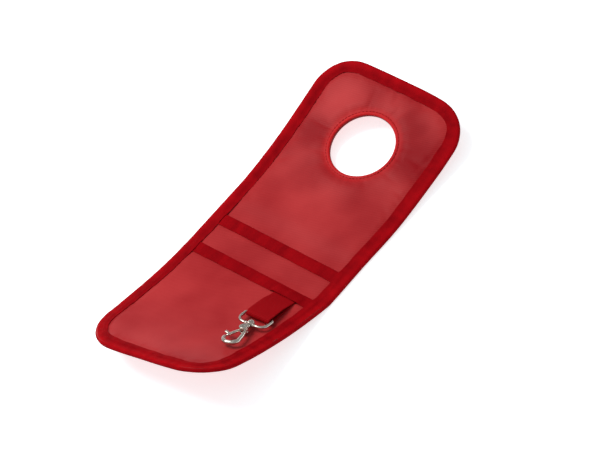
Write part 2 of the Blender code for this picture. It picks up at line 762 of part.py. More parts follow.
class Group:
    """The collections and the root empty that every piece shares."""

    def __init__(self):
        self.parts = new_collection("door_pouch")
        self.cutters = new_collection("cutters")
        self.root = bpy.data.objects.new("door_pouch_root", None)
        self.parts.objects.link(self.root)


def make_cloth(group):
    cloth = make_material("coated_cloth", (0.46, 0.035, 0.045), 0.42)
    lining = make_material("back_cloth", (0.40, 0.03, 0.04), 0.5)
    foam = make_material("foam", (0.75, 0.73, 0.70), 0.9)
    tape = make_material("binding_tape", (0.32, 0.008, 0.014), 0.6)
    thread = make_material("thread", (0.30, 0.008, 0.012), 0.55)
    full_sheet("back_facing", BACK_FLOOR, CLOTH, lining, group)
    full_sheet("foam_interlining", FOAM_FLOOR, FOAM, foam, group)
    rim = (BACK_FLOOR, FRONT_FLOOR + CLOTH)
    full_sheet("front_facing", FRONT_FLOOR, CLOTH, cloth, group, rim)
    for name, mouth, floor in (
        ("inner_pocket", INNER_MOUTH, INNER_FLOOR), ("outer_pocket", OUTER_MOUTH, OUTER_FLOOR),
    ):
        lay(sheet(name, mouth, floor, CLOTH, cloth, group, round_end=False).data)
    mouth_tape("inner_pocket_binding", INNER_MOUTH, INNER_FLOOR, tape, group)
    mouth_tape("outer_pocket_binding", OUTER_MOUTH, OUTER_FLOOR, tape, group, strap_bump)
    edge_tape("edge_binding", tape, group)
    stitch_height = THICKNESS + GAP + THREAD / 2
    stitch_line(
        "edge_binding_thread", rim_path(EDGE_STITCH_INSET, stitch_height), True, thread, group,
    )
    circle = arc((0.0, HOLE_ALONG), HOLE_RADIUS + HOLE_STITCH_INSET, 0.0, 2 * math.pi, 37)[:-1]
    hole_height = FRONT_FLOOR + CLOTH + GAP + THREAD / 2
    stitch_line("hole_thread", [(x, y, hole_height) for x, y in circle], True, thread, group)
    inner_top = INNER_FLOOR + CLOTH + GAP + TAPE
    outer_top = OUTER_FLOOR + CLOTH + GAP + TAPE
    mouth_stitches("inner_pocket_thread", INNER_MOUTH, inner_top, thread, group)
    mouth_stitches("outer_pocket_thread", OUTER_MOUTH, outer_top, thread, group, strap_bump)


def make_tail(group, webbing):
    """The doubled end of the webbing, sewn down under the outer pocket's tape."""
    half = STRAP_WIDTH / 2
    start = STRAP_END_ALONG + STRAP_YAW_ROOM
    floor = OUTER_TOP + GAP
    mesh = slab(
        "strap_tail", (STRAP_ACROSS - half, STRAP_ACROSS + half), (start, start + TAIL_LENGTH),
        (floor, floor + 2 * WEBBING),
    )
    add_object("strap_tail", lay(mesh), group.parts, webbing, group.root)


def make_hardware(group):
    webbing = make_material("webbing", (0.33, 0.008, 0.016), 0.65)
    nickel = make_material("nickel", (0.72, 0.70, 0.66), 0.25, 1.0)
    steel = make_material("spring_steel", (0.55, 0.55, 0.55), 0.3, 1.0)
    make_tail(group, webbing)
    strap_frame, eye_frame, hook_frame, length = hardware_frames()
    pivot_rise = WEBBING + 2 * GAP + TAPE + STRAP_YAW_ROOM
    pivot_frame = strap_frame @ Matrix.Translation((0.0, 0.0, pivot_rise))
    pin, _ = gate_axis()
    strap_axis = add_axis("strap_hinge_axis", pivot_frame, group.root, group.parts)
    eye_axis = add_axis("eye_pivot_axis", eye_frame, strap_axis, group.parts)
    hook_axis = add_axis("hook_swivel_axis", hook_frame, eye_axis, group.parts)
    gate_frame = hook_frame @ Matrix.Translation(pin)
    gate_pivot = add_axis("gate_pivot_axis", gate_frame, hook_axis, group.parts)
    make_strap(length, pivot_rise, webbing, group, strap_axis)
    make_eye(nickel, group, eye_axis)
    make_hook(nickel, group, hook_axis)
    make_pin(steel, group, hook_axis)
    make_spring(steel, group, hook_axis)
    make_gate(nickel, group, gate_pivot)


def centre_on_origin(group):
    """Puts the origin under the middle of the whole object's box, at its lowest point."""
    bpy.context.view_layer.update()
    corners = [
        obj.matrix_world @ vertex.co
        for obj in group.parts.objects if obj.type == "MESH" for vertex in obj.data.vertices
    ]
    low = Vector([min(point[i] for point in corners) for i in range(3)])
    high = Vector([max(point[i] for point in corners) for i in range(3)])
    group.root.location = (-(low.x + high.x) / 2, -(low.y + high.y) / 2, -low.z)


def main():
    clear_scene()
    group = Group()
    make_cloth(group)
    make_hardware(group)
    centre_on_origin(group)


main()
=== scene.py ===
import json
import math

import bpy
import numpy as np
from mathutils import Matrix, Vector, noise
from mathutils.geometry import delaunay_2d_cdt


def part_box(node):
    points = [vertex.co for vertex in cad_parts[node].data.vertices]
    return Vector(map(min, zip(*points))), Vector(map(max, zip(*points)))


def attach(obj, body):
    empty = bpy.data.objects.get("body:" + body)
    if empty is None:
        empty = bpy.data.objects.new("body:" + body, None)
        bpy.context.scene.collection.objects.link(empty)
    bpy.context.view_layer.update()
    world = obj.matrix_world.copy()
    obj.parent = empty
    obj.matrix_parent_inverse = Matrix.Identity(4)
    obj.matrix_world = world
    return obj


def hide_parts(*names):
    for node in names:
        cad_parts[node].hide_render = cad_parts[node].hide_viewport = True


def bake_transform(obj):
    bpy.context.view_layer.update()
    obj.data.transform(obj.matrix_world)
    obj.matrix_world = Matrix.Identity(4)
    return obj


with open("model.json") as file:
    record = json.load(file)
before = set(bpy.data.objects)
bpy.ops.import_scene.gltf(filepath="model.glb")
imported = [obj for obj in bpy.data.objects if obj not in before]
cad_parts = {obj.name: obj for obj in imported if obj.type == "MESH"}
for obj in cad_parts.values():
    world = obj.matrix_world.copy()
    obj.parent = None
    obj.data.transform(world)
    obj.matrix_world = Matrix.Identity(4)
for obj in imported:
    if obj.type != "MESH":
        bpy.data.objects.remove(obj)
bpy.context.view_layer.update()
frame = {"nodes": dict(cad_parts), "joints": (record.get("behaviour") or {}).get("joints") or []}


# ---------------------------------------------------------------- Back facing
# One layer of coated polyester cloth, cut to the panel's outline with a round hole in it. It is
# the panel's rear, which lies on the table, and the edge tape's rear leg is sewn over its rim.

# The flat cut, in metres: across the panel, along it from the pocket end, and height off the table
PANEL_WIDTH = 0.145
PANEL_LENGTH = 0.340
CORNER_RADIUS = 0.035
HOLE_RADIUS = 0.028
HOLE_ALONG = 0.276
THICKNESS = 0.0055
CLOTH = 0.0003
CLOTH_INSET = 0.0014
CLOTH_PITCH = 0.0021
FOAM_INSET = 0.0007
FOAM_FLOOR = 0.0013
FOAM = 0.001

# How the finished panel lies: flat in the middle, both ends curled up, the pocket end twisted
FLAT_START = 0.140
FLAT_END = 0.200
POCKET_CURL = 0.312
POCKET_CURL_POWER = 0.9
POCKET_TWIST = 0.223
POCKET_TWIST_POWER = 1.03
HOLE_CURL = 0.321
HOLE_CURL_POWER = 0.73
HOLE_TWIST = -0.089
HOLE_TWIST_POWER = 1.5


def curl(along):
    """Slope along the panel and roll across it at places along the panel, in radians."""
    pocket = np.clip((FLAT_START - along) / FLAT_START, 0.0, None)
    hole = np.clip((along - FLAT_END) / (PANEL_LENGTH - FLAT_END), 0.0, None)
    slope = HOLE_CURL * hole**HOLE_CURL_POWER - POCKET_CURL * pocket**POCKET_CURL_POWER
    roll = HOLE_TWIST * hole**HOLE_TWIST_POWER + POCKET_TWIST * pocket**POCKET_TWIST_POWER
    return slope, roll


def middle_line():
    """The panel's middle line as it lies: places along it, with their Y and Z."""
    spare = 0.02
    along = np.linspace(-spare, PANEL_LENGTH + spare, 761)
    slope, _ = curl(along)
    step = np.diff(along)
    y = np.append(0.0, np.cumsum(step * (np.cos(slope[1:]) + np.cos(slope[:-1])) / 2))
    z = np.append(0.0, np.cumsum(step * (np.sin(slope[1:]) + np.sin(slope[:-1])) / 2))
    centre = (FLAT_START + FLAT_END) / 2
    return along, y - np.interp(centre, along, y), z - np.interp(centre, along, z)


MIDDLE_LINE = middle_line()


def cloth_axes(along):
    """Unit vectors across the lying cloth and off its face, one row for each place along it."""
    slope, roll = curl(np.asarray(along, float))
    side = (np.cos(roll), -np.sin(roll) * np.sin(slope), np.sin(roll) * np.cos(slope))
    normal = (-np.sin(roll), -np.cos(roll) * np.sin(slope), np.cos(roll) * np.cos(slope))
    return np.stack(side, -1), np.stack(normal, -1)


def bend(flat):
    """Points of the flat cut (across, along, height) on the curled panel, not yet in place."""
    across, along, height = np.asarray(flat, float).T
    side, normal = cloth_axes(along)
    fixed = np.where(along < (FLAT_START + FLAT_END) / 2, -PANEL_WIDTH / 2, 0.0)
    y = np.interp(along, MIDDLE_LINE[0], MIDDLE_LINE[1])
    z = np.interp(along, MIDDLE_LINE[0], MIDDLE_LINE[2])
    points = np.stack([fixed, y, z + THICKNESS / 2], 1)
    points += side * (across - fixed)[:, None] + normal * (height - THICKNESS / 2)[:, None]
    return points


def rim(step):
    """Places all round the panel's edge on the flat cut, and the way straight out at each."""
    across = PANEL_WIDTH / 2 - CORNER_RADIUS
    along = PANEL_LENGTH / 2 - CORNER_RADIUS
    corners = [(across, -along), (across, along), (-across, along), (-across, -along)]
    bases, angles = [], []
    for index in range(4):
        start, end = np.array(corners[index]), np.array(corners[(index + 1) % 4])
        heading = index * math.pi / 2
        straight = round(np.linalg.norm(end - start) / step)
        turn = round(CORNER_RADIUS * math.pi / 2 / step)
        bases += [start + (end - start) * t / straight for t in range(straight)]
        angles += [heading] * straight
        bases += [end] * turn
        angles += [heading + math.pi / 2 * t / turn for t in range(turn)]
    ways = np.stack([np.cos(angles), np.sin(angles)], 1)
    return np.array(bases) + CORNER_RADIUS * ways + (0.0, PANEL_LENGTH / 2), ways


def panel_place():
    """The move that brings the curled panel onto the frame, from the foam's box in both."""
    places, ways = rim(step=0.001)
    outline = places - ways * FOAM_INSET
    low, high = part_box("foam_interlining")
    points = bend([(x, y, z) for x, y in outline for z in (FOAM_FLOOR, FOAM_FLOOR + FOAM)])
    move = (np.array(low) + np.array(high) - points.min(0) - points.max(0)) / 2
    return np.array([move[0], move[1], 0.0])


PLACE = panel_place()


def lay(flat):
    """Where points of the flat cut (across, along, height) end up on the lying panel."""
    return bend(flat) + PLACE


def hump(value, centre, width):
    """A smooth hump: 1 at the centre, and falling away over that width."""
    return np.exp(-(((value - centre) / width) ** 2))


# How the sewn rim strays from the cut. The sides are drawn in by an amount, at a place along and
# over a length. The ends bow out: which way, how far in the middle, and the least.
RIM_WANDER = 0.0006
WANDERS_PER_METRE = 24
SIDE_DRAWS = ((0.0006, 0.312, 0.016), (-0.0007, 0.250, 0.050))
END_BOWS = ((1.0, 0.0006, -0.0003), (-1.0, 0.0012, -0.0004))
BOW_FALL = 0.0012
BOW_REACH = 0.045


def drawn_rim(places, ways):
    """The sewn panel's real edge: it wanders a little, and the tape draws it in and out."""
    grain = WANDERS_PER_METRE
    wander = [noise.noise(Vector((x * grain, y * grain, 5.0))) * RIM_WANDER for x, y in places]
    x, y = places.T
    sideways = np.abs(ways[:, 0]) ** 2
    sides = sum(amount * hump(y, along, reach) * sideways for amount, along, reach in SIDE_DRAWS)
    fall = BOW_FALL * (np.abs(x) / BOW_REACH) ** 3
    ends = sum(
        np.clip((bow - fall) * np.maximum(way * ways[:, 1], 0.0) ** 3, least, None)
        for way, bow, least in END_BOWS
    )
    return places + ways * (np.array(wander) - sides + ends)[:, None]


def inside_rim(across, along):
    """How far in from the panel's edge places of the flat cut lie."""
    x = np.abs(across) - (PANEL_WIDTH / 2 - CORNER_RADIUS)
    y = np.abs(along - PANEL_LENGTH / 2) - (PANEL_LENGTH / 2 - CORNER_RADIUS)
    outside = np.hypot(np.maximum(x, 0.0), np.maximum(y, 0.0))
    return CORNER_RADIUS - outside - np.minimum(np.maximum(x, y), 0.0)


def from_hole(across, along):
    """How far outside the hanging hole's edge places of the flat cut lie."""
    return np.hypot(across, along - HOLE_ALONG) - HOLE_RADIUS


# The rings of points that the cloth has round the hole, close together near its turned edge
HOLE_SPOKES = 168
RING_STEP = 0.00045
CLOSE_RINGS_END = 0.0045
WIDE_RINGS = (0.0052, 0.0062, 0.0076)
MERGE_DISTANCE = 1e-7


def cut_cloth(end=None, hole_from=None, pitch=CLOTH_PITCH, inset=CLOTH_INSET):
    """A flat cut as points and triangles: the whole panel, or as far as a place along it.
    hole_from is where the cloth starts, counted outward from the hole's edge."""
    places, ways = rim(pitch)
    border = places - ways * inset
    if end:
        border = border[border[:, 1] < end - pitch / 3]
        right = int((np.diff(border[:, 0]) < -PANEL_WIDTH / 2).argmax()) + 1
        reach = PANEL_WIDTH / 2 - inset
        mouth = np.linspace(reach, -reach, round(2 * reach / pitch) + 1)
        line = np.stack([mouth, np.full(len(mouth), end)], 1)
        border = np.concatenate([border[:right], line, border[right:]])
    loops = [list(range(len(border)))]
    points = [border]
    if hole_from is not None:
        angles = np.arange(HOLE_SPOKES) / HOLE_SPOKES * 2 * math.pi
        loops.append(list(range(len(border), len(border) + HOLE_SPOKES)))
        close_rings = np.arange(hole_from, CLOSE_RINGS_END, RING_STEP)
        for distance in (*close_rings, *WIDE_RINGS):
            radius = HOLE_RADIUS + distance
            ring = (radius * np.cos(angles), HOLE_ALONG + radius * np.sin(angles))
            points.append(np.stack(ring, 1))
    rows = np.arange(inset, end or PANEL_LENGTH, pitch * math.sqrt(3) / 2)
    columns = np.arange(-PANEL_WIDTH / 2, PANEL_WIDTH / 2, pitch)
    x, y = np.meshgrid(columns, rows)
    x = x + (np.arange(len(rows)) % 2 * pitch / 2)[:, None]
    x, y = x.ravel(), y.ravel()
    gap = 0.6 * pitch
    kept = (inside_rim(x, y) > inset + gap) & (y < (end or PANEL_LENGTH) - gap)
    if hole_from is not None:
        kept &= from_hole(x, y) > WIDE_RINGS[-1] + gap
    points = np.concatenate([*points, np.stack([x[kept], y[kept]], 1)])
    found = delaunay_2d_cdt([Vector(p) for p in points], [], loops, 1, MERGE_DISTANCE)
    points = np.array([tuple(p) for p in found[0]])
    faces = np.array(found[2])
    if hole_from is not None:
        faces = faces[from_hole(*points[faces].mean(1).T) > hole_from]
    a, b, c = points[faces].transpose(1, 0, 2)
    turned = np.cross(b - a, c - a) < 0
    faces[turned] = faces[turned][:, ::-1]
    return points, faces


def piece(name, points, faces, finish, cut=None):
    """A smooth mesh piece, with the flat cut as its UV map where it has one."""
    mesh = bpy.data.meshes.new(name)
    mesh.from_pydata(np.asarray(points).tolist(), [], [tuple(face) for face in faces])
    mesh.shade_smooth()
    mesh.materials.append(finish.material)
    if cut is not None:
        layer = mesh.uv_layers.new(name="Cut")
        corners = np.zeros(len(mesh.loops), int)
        mesh.loops.foreach_get("vertex_index", corners)
        layer.data.foreach_set("uv", np.asarray(cut, float)[corners].ravel())
    obj = bpy.data.objects.new(name, mesh)
    bpy.context.scene.collection.objects.link(obj)
    return obj


def thicken(obj, thickness):
    """Gives an open cloth surface its thickness, on the side away from its face."""
    solidify = obj.modifiers.new("thickness", "SOLIDIFY")
    solidify.thickness = thickness
    solidify.offset = -1.0
    solidify.use_even_offset = True
    return obj


class Value:
    """One value in a finish's node tree. Python's operators on it add the Math nodes."""

    def __init__(self, finish, socket):
        self.finish = finish
        self.socket = socket

    def math(self, operation, *others):
        return self.finish.node("ShaderNodeMath", {"operation": operation}, [self, *others])

    def after(self, operation, other):
        """The same with the other value first."""
        return self.finish.node("ShaderNodeMath", {"operation": operation}, [other, self])

    def __add__(self, other):
        return self.math("ADD", other)

    def __sub__(self, other):
        return self.math("SUBTRACT", other)

    def __rsub__(self, other):
        return self.after("SUBTRACT", other)

    def __mul__(self, other):
        return self.math("MULTIPLY", other)

    def __truediv__(self, other):
        return self.math("DIVIDE", other)

    def __rtruediv__(self, other):
        return self.after("DIVIDE", other)

    def __pow__(self, other):
        return self.math("POWER", other)

    def __rpow__(self, other):
        return self.after("POWER", other)

    __radd__ = __add__
    __rmul__ = __mul__

    def clamped(self):
        """This value, kept from 0 to 1."""
        return self.math("MAXIMUM", 0.0).math("MINIMUM", 1.0)

    def wave(self, pitch):
        """A smooth wave from 0 to 1 that repeats at that pitch of this value."""
        return (self * (2 * math.pi / pitch)).math("SINE") * 0.5 + 0.5


class Finish:
    """A procedural material, with one method that adds any node to it."""

    def __init__(self, name, **constants):
        self.material = bpy.data.materials.new(name)
        self.material.use_nodes = True
        self.tree = self.material.node_tree
        self.shader = self.tree.nodes["Principled BSDF"]
        self.feed(**constants)

    def node(self, kind, settings=None, inputs=(), output=0):
        """Adds a node: its type, its settings, the values or links of its sockets."""
        added = self.tree.nodes.new(kind)
        for name, value in (settings or {}).items():
            setattr(added, name, value)
        pairs = inputs.items() if isinstance(inputs, dict) else enumerate(inputs)
        for key, value in pairs:
            self.connect(added.inputs[key], value)
        return Value(self, added.outputs[output])

    def connect(self, socket, value):
        if isinstance(value, Value):
            self.tree.links.new(value.socket, socket)
        else:
            socket.default_value = value

    def feed(self, **sockets):
        """Sets or links the shader's own sockets, named with _ for a space."""
        for name, value in sockets.items():
            self.connect(self.shader.inputs[name.replace("_", " ")], value)

    def cut_places(self):
        """Places on the piece's flat cut, in metres: as a vector, then across and along."""
        cut = self.node("ShaderNodeUVMap", {"uv_map": "Cut"})
        across = self.node("ShaderNodeSeparateXYZ", {}, [cut])
        return cut, across, Value(self, across.socket.node.outputs["Y"])

    def speckle(self, where, scale, detail=2.0):
        """Noise from 0 to 1 with so many grains to the metre."""
        inputs = {"Vector": where, "Scale": scale, "Detail": detail}
        return self.node("ShaderNodeTexNoise", {}, inputs)

    def between(self, share, first, second):
        """A colour from first, where share is 0, to second, where it is 1."""
        return self.node(
            "ShaderNodeMix", {"data_type": "RGBA"},
            {0: share, 6: (*first, 1.0), 7: (*second, 1.0)}, output=2,
        )

    def mix(self, share, first, second):
        """first, a link, turned towards the colour second by share."""
        inputs = {0: share, 6: first, 7: (*second, 1.0)}
        return self.node("ShaderNodeMix", {"data_type": "RGBA"}, inputs, output=2)

    def bump(self, height, depth, strength=1.0):
        """Raises the surface's fine relief by height, where 1 is that depth in metres."""
        inputs = {"Height": height, "Distance": depth, "Strength": strength}
        self.feed(Normal=self.node("ShaderNodeBump", {}, inputs))


# The weave and the lean of its twill lines (across, along), and how far from the hole's edge the
# painted glow of light through the thin turned rim reaches
WEAVE_PITCH = 0.00062
TWILL_PITCH = 0.0017
TWILL_LEAN = (0.64, 0.77)
GLOW_REACH = 0.0080
# Where the hole's wall starts, how softly, and its red, which is painted shade
TURN_EDGE = 0.0002
TURN_SOFTNESS = 0.0005
HOLE_WALL_SHADE = (0.20, 0.001, 0.003)


def cloth_finish(name, deep, light, rim_glow_red, roughness, sheen_and_shade_spots=()):
    """Coated plain-weave polyester: fine crossing threads under a thin satin film. Its whitish pale
    end and some spots carry painted sheen, a ring round the hole carries a painted glow, and the
    hole's wall carries painted shade.
    """
    finish = Finish(name, Specular_IOR_Level=0.09, Sheen_Weight=0.02, Sheen_Roughness=0.5)
    cut, across, along = finish.cut_places()
    weave = across.wave(WEAVE_PITCH) * along.wave(WEAVE_PITCH)
    twill = (along * TWILL_LEAN[1] - across * TWILL_LEAN[0]).wave(TWILL_PITCH)
    slub = finish.speckle(cut, scale=900.0)
    cloud = finish.speckle(cut, scale=17.0)
    mottle = finish.speckle(cut, scale=130.0, detail=3.0)
    threads = weave * 0.5 + twill * 0.6 + slub * 0.3
    # Broad random paler patches: uneven wear of the film, with painted sheen.
    wear_and_painted_light = finish.node("ShaderNodeMapRange", {}, {"Value": cloud, "From Min": 0.36, "From Max": 0.66})
    share = wear_and_painted_light * 0.42 + mottle * 0.16 + twill * 0.20 + weave * 0.10 + slub * 0.12 + 0.05
    # Spots of painted sheen, and of painted shade where the amount is negative.
    for x, y, radius, amount in sheen_and_shade_spots:
        off = ((across - x) * (across - x) + (along - y) * (along - y)) / (radius * radius)
        share = share + (1.0 - off).math("MAXIMUM", 0.0) * amount
    colour = finish.between(share, deep, light)
    from_centre = (across * across + (along - HOLE_ALONG) ** 2.0) ** 0.5
    # A brighter, clearer red ring round the hole: a painted glow of light through the thin turned
    # rim.
    drawn = (1.0 - (from_centre - HOLE_RADIUS) / GLOW_REACH).clamped()
    colour = finish.mix(drawn * (0.9 - twill * 0.3), colour, rim_glow_red)
    # The hole's wall, darkened with painted shade.
    inside = ((HOLE_RADIUS + TURN_EDGE - from_centre) / TURN_SOFTNESS).clamped()
    finish.feed(Base_Color=finish.mix(inside, colour, HOLE_WALL_SHADE))
    finish.feed(Roughness=roughness - cloud * 0.08 + slub * 0.1)
    finish.bump(threads, depth=0.00007, strength=0.6)
    return finish


BACK_HEIGHT = 0.0011
BACK_HOLE_INSET = 0.0003
BACK_SEAM_DIP = 0.0004
SEAM_DIP_REACH = 0.006

back_cloth = cloth_finish(
    "back_cloth", deep=(0.28, 0.003, 0.007), light=(0.46, 0.026, 0.028),
    rim_glow_red=(0.42, 0.004, 0.006), roughness=0.50,
)
flat, faces = cut_cloth(hole_from=BACK_HOLE_INSET)
drawn_in = BACK_SEAM_DIP * np.exp(-inside_rim(*flat.T) / SEAM_DIP_REACH)
back = np.column_stack([flat, BACK_HEIGHT - drawn_in])
back_facing = piece("back_facing_cloth", lay(back), faces, back_cloth, flat)
thicken(back_facing, CLOTH)
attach(back_facing, "panel")
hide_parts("back_facing")


# ---------------------------------------------------------------- Front facing
# The same cloth on the front, over the foam. Its hole is cut small, and the spare cloth is turned
# in over the foam's edge. The turning draws soft puckers out from the hole, and the foam under
# the cloth crowns it a little inside the edge tape.

EDGE_TAPE_WIDTH = 0.0108
EDGE_STITCH_INSET = 0.0088
HOLE_STITCH_INSET = 0.0032
INNER_MOUTH = 0.1674
OUTER_MOUTH = 0.1346
TURN_RADIUS = 0.0015
TURN_IN = 0.0019

# How the foam lifts the facing: a crown that starts at the edge stitches and fades out by the
# mouths, a bead inside the hole's stitches, and a swell round the hole
FACING_SEAM = 0.0029
FACING_CROWN = 0.0009
CROWN_REACH = 0.005
CROWN_CLEAR = 0.010
CROWN_FADE = (INNER_MOUTH + 0.008, INNER_MOUTH + 0.035)
HOLE_BEAD = 0.0003
BEAD_WIDTH = 0.0012
HOLE_SWELL = 0.0015
SWELL_REACH = 0.015

# Puckers that run out from the hole: how many go round, how strong they are, and their turn
PUCKERS = ((3, 1.0, 0.6), (5, 0.8, 2.1), (8, 0.6, 4.0))
PUCKER_HEIGHT = 0.00060
PUCKER_START = (0.004, 0.011)
PUCKER_REACH = 0.022
PUCKER_CLEAR = 0.012

# Spots of painted sheen, which make the film paler, and of painted shade, which keep it deep: across,
# along, radius and how much
SHEEN_AND_SHADE_SPOTS = (
    (-0.036, 0.304, 0.024, 0.40), (0.002, 0.318, 0.016, 0.30), (0.046, 0.288, 0.030, -0.55),
    (-0.046, 0.268, 0.018, -0.35), (-0.022, 0.233, 0.024, -0.30), (0.020, 0.232, 0.020, -0.18),
    (0.000, 0.205, 0.040, 0.22), (0.030, 0.312, 0.016, -0.35), (-0.050, 0.020, 0.020, 0.25),
)

# The cloth simulation works on a cut this many times as large, which starts a little uneven
SETTLE_SCALE = 20.0
START_WOBBLE = 0.006
WOBBLE_SCALE = 2.6


def ramp(value, start, end):
    """Smooth rise from 0 at start to 1 at end."""
    t = np.clip((np.asarray(value, float) - start) / (end - start), 0.0, 1.0)
    return t * t * (3.0 - 2.0 * t)


def settle(flat, faces, held, spare, weight, frames, most):
    """How far each point of a flat sheet rises when cloth cut a little too large is held where
    held is 1 and bonded softly where it is less. Cloth simulation, made larger for its solver."""
    start = np.column_stack([flat, np.zeros(len(flat))]) * SETTLE_SCALE
    wobble = [noise.noise(Vector(p) * WOBBLE_SCALE) * START_WOBBLE for p in start]
    start[:, 2] = np.array(wobble) * (held < 1.0)
    mesh = bpy.data.meshes.new("settling")
    mesh.from_pydata(start.tolist(), [], faces.tolist())
    obj = bpy.data.objects.new("settling", mesh)
    bpy.context.scene.collection.objects.link(obj)
    group = obj.vertex_groups.new(name="held")
    for index, share in enumerate(held.tolist()):
        group.add([index], share, "REPLACE")
    cloth = obj.modifiers.new("cloth", "CLOTH")
    settings = cloth.settings
    settings.quality = 6
    settings.mass = 0.15
    settings.air_damping = 3.0
    settings.tension_stiffness = 20.0
    settings.compression_stiffness = 20.0
    settings.shear_stiffness = 10.0
    settings.bending_stiffness = 2.0
    settings.vertex_group_mass = "held"
    settings.pin_stiffness = 1.0
    settings.shrink_min = -spare
    settings.effector_weights.gravity = weight
    cloth.collision_settings.use_collision = False
    cloth.point_cache.frame_start = 1
    cloth.point_cache.frame_end = frames
    scene = bpy.context.scene
    for number in range(1, frames + 1):
        scene.frame_set(number)
    depsgraph = bpy.context.evaluated_depsgraph_get()
    settled = obj.evaluated_get(depsgraph).data
    end = np.zeros(len(settled.vertices) * 3, np.float32)
    settled.vertices.foreach_get("co", end)
    bpy.data.objects.remove(obj, do_unlink=True)
    scene.frame_set(1)
    rise = -end.reshape(-1, 3)[:, 2].astype(float) / SETTLE_SCALE
    return most * np.tanh(rise / most)


def turn_in(flat):
    """The facing's flat cut folded over the foam's edge at the hole."""
    across, along = flat.T
    distance = from_hole(across, along)
    past = np.maximum(TURN_RADIUS - distance, 0.0)
    angle = np.minimum(past / TURN_RADIUS, math.pi / 2)
    drop = TURN_RADIUS * (1.0 - np.cos(angle)) + np.maximum(past - TURN_RADIUS * math.pi / 2, 0.0)
    reach = np.where(past > 0.0, TURN_RADIUS * (1.0 - np.sin(angle)), distance)
    scale = (HOLE_RADIUS + reach) / (HOLE_RADIUS + distance)
    return across * scale, HOLE_ALONG + (along - HOLE_ALONG) * scale, drop


def facing_height(across, along):
    """Height of the facing's face: low in the seams, crowned by the foam between them."""
    inside = inside_rim(across, along)
    distance = from_hole(across, along)
    from_stitches = np.maximum(inside - EDGE_STITCH_INSET, 0.0)
    crown = FACING_CROWN * (1.0 - np.exp(-from_stitches / CROWN_REACH))
    crown = crown * ramp(along, *CROWN_FADE)
    turn = np.arctan2(along - HOLE_ALONG, across)
    pull = sum(strength * np.sin(count * turn + start) for count, strength, start in PUCKERS)
    pucker = PUCKER_HEIGHT * pull * ramp(distance, *PUCKER_START) * np.exp(-distance / PUCKER_REACH)
    pucker = pucker + HOLE_SWELL * hump(distance, 0.0, SWELL_REACH)
    pucker = pucker * ramp(inside, EDGE_TAPE_WIDTH, EDGE_TAPE_WIDTH + PUCKER_CLEAR)
    bead = HOLE_BEAD * hump(distance, HOLE_STITCH_INSET / 2, BEAD_WIDTH)
    beyond = ramp(distance, HOLE_STITCH_INSET, HOLE_STITCH_INSET + CROWN_CLEAR)
    return FACING_SEAM + crown * beyond + bead + pucker


# How the simulated facing is held: at the rim, in the turning, and below the rear mouth, where
# the pockets cover it. Between them the foam's tack leaves it nearly free.
FACING_TACK = 0.03
TURNING_HOLDS = (0.0015, 0.0080)
COVERED_END = INNER_MOUTH - 0.004
RISE_FADE = (INNER_MOUTH + 0.004, INNER_MOUTH + 0.024)

coated_cloth = cloth_finish(
    "coated_cloth", deep=(0.28, 0.003, 0.007), light=(0.50, 0.036, 0.038),
    rim_glow_red=(0.62, 0.008, 0.010), roughness=0.46, sheen_and_shade_spots=SHEEN_AND_SHADE_SPOTS,
)
flat, faces = cut_cloth(hole_from=-TURN_IN)
inside = inside_rim(*flat.T)
distance = from_hole(*flat.T)
held = 1.0 - (1.0 - FACING_TACK) * ramp(distance, *TURNING_HOLDS)
held = np.maximum(inside < EDGE_TAPE_WIDTH, held)
held = np.where(flat[:, 1] < COVERED_END, 1.0, held)
rise = settle(flat, faces, held, spare=0.012, weight=0.4, frames=26, most=0.0011)
rise = rise * ramp(flat[:, 1], *RISE_FADE)
across, along, drop = turn_in(flat)
facing = np.column_stack([across, along, facing_height(across, along) + rise - drop])
front_facing = piece("front_facing_cloth", lay(facing), faces, coated_cloth, flat)
thicken(front_facing, CLOTH)
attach(front_facing, "panel")
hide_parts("front_facing")


# ---------------------------------------------------------------- Foam interlining
# A thin sheet of open-cell foam between the two facings, which gives the panel its body. The rim's
# seam and the hole's turning hold it.


def block(name, flat, faces, low, high, finish):
    """A closed slab on a flat cut, between two heights given at each of its points."""
    count = len(flat)
    points = np.concatenate([np.column_stack([flat, high]), np.column_stack([flat, low])])
    edges = np.concatenate([faces[:, [0, 1]], faces[:, [1, 2]], faces[:, [2, 0]]])
    _, first, uses = np.unique(
        np.sort(edges, axis=1), axis=0, return_index=True, return_counts=True,
    )
    border = edges[first[uses == 1]]
    walls = [(b, a, a + count, b + count) for a, b in border.tolist()]
    below = (faces[:, ::-1] + count).tolist()
    return piece(name, lay(points), [*faces.tolist(), *below, *walls], finish, np.tile(flat, (2, 1)))


FOAM_GAP = 0.0003
FOAM_EDGE_DROP = 0.0011
FOAM_EDGE_REACH = 0.0012

foam_finish = Finish("foam", Roughness=0.9)
cut, _, _ = foam_finish.cut_places()
cells = foam_finish.node("ShaderNodeTexVoronoi", {}, {"Vector": cut, "Scale": 1400.0})
foam_finish.feed(Base_Color=foam_finish.between(cells, (0.62, 0.60, 0.56), (0.80, 0.78, 0.74)))
foam_finish.bump(cells, depth=0.0002, strength=0.8)
foam_flat, foam_faces = cut_cloth(hole_from=0.0007, pitch=0.004)
foam_floor = np.full(len(foam_flat), BACK_HEIGHT + 0.0001)
foam_top = facing_height(*foam_flat.T) - CLOTH - FOAM_GAP
foam_top -= FOAM_EDGE_DROP * np.exp(-from_hole(*foam_flat.T) / FOAM_EDGE_REACH)
foam = block("foam_interlining_sheet", foam_flat, foam_faces, foam_floor, foam_top, foam_finish)
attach(foam, "panel")
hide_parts("foam_interlining")


# ---------------------------------------------------------------- The two pockets
# Two flat pieces of the coated cloth, the rear one taller. Their sides and bottoms lie under the
# edge tape, and their mouths are open. They lie close on the facing, with slack, soft waves.

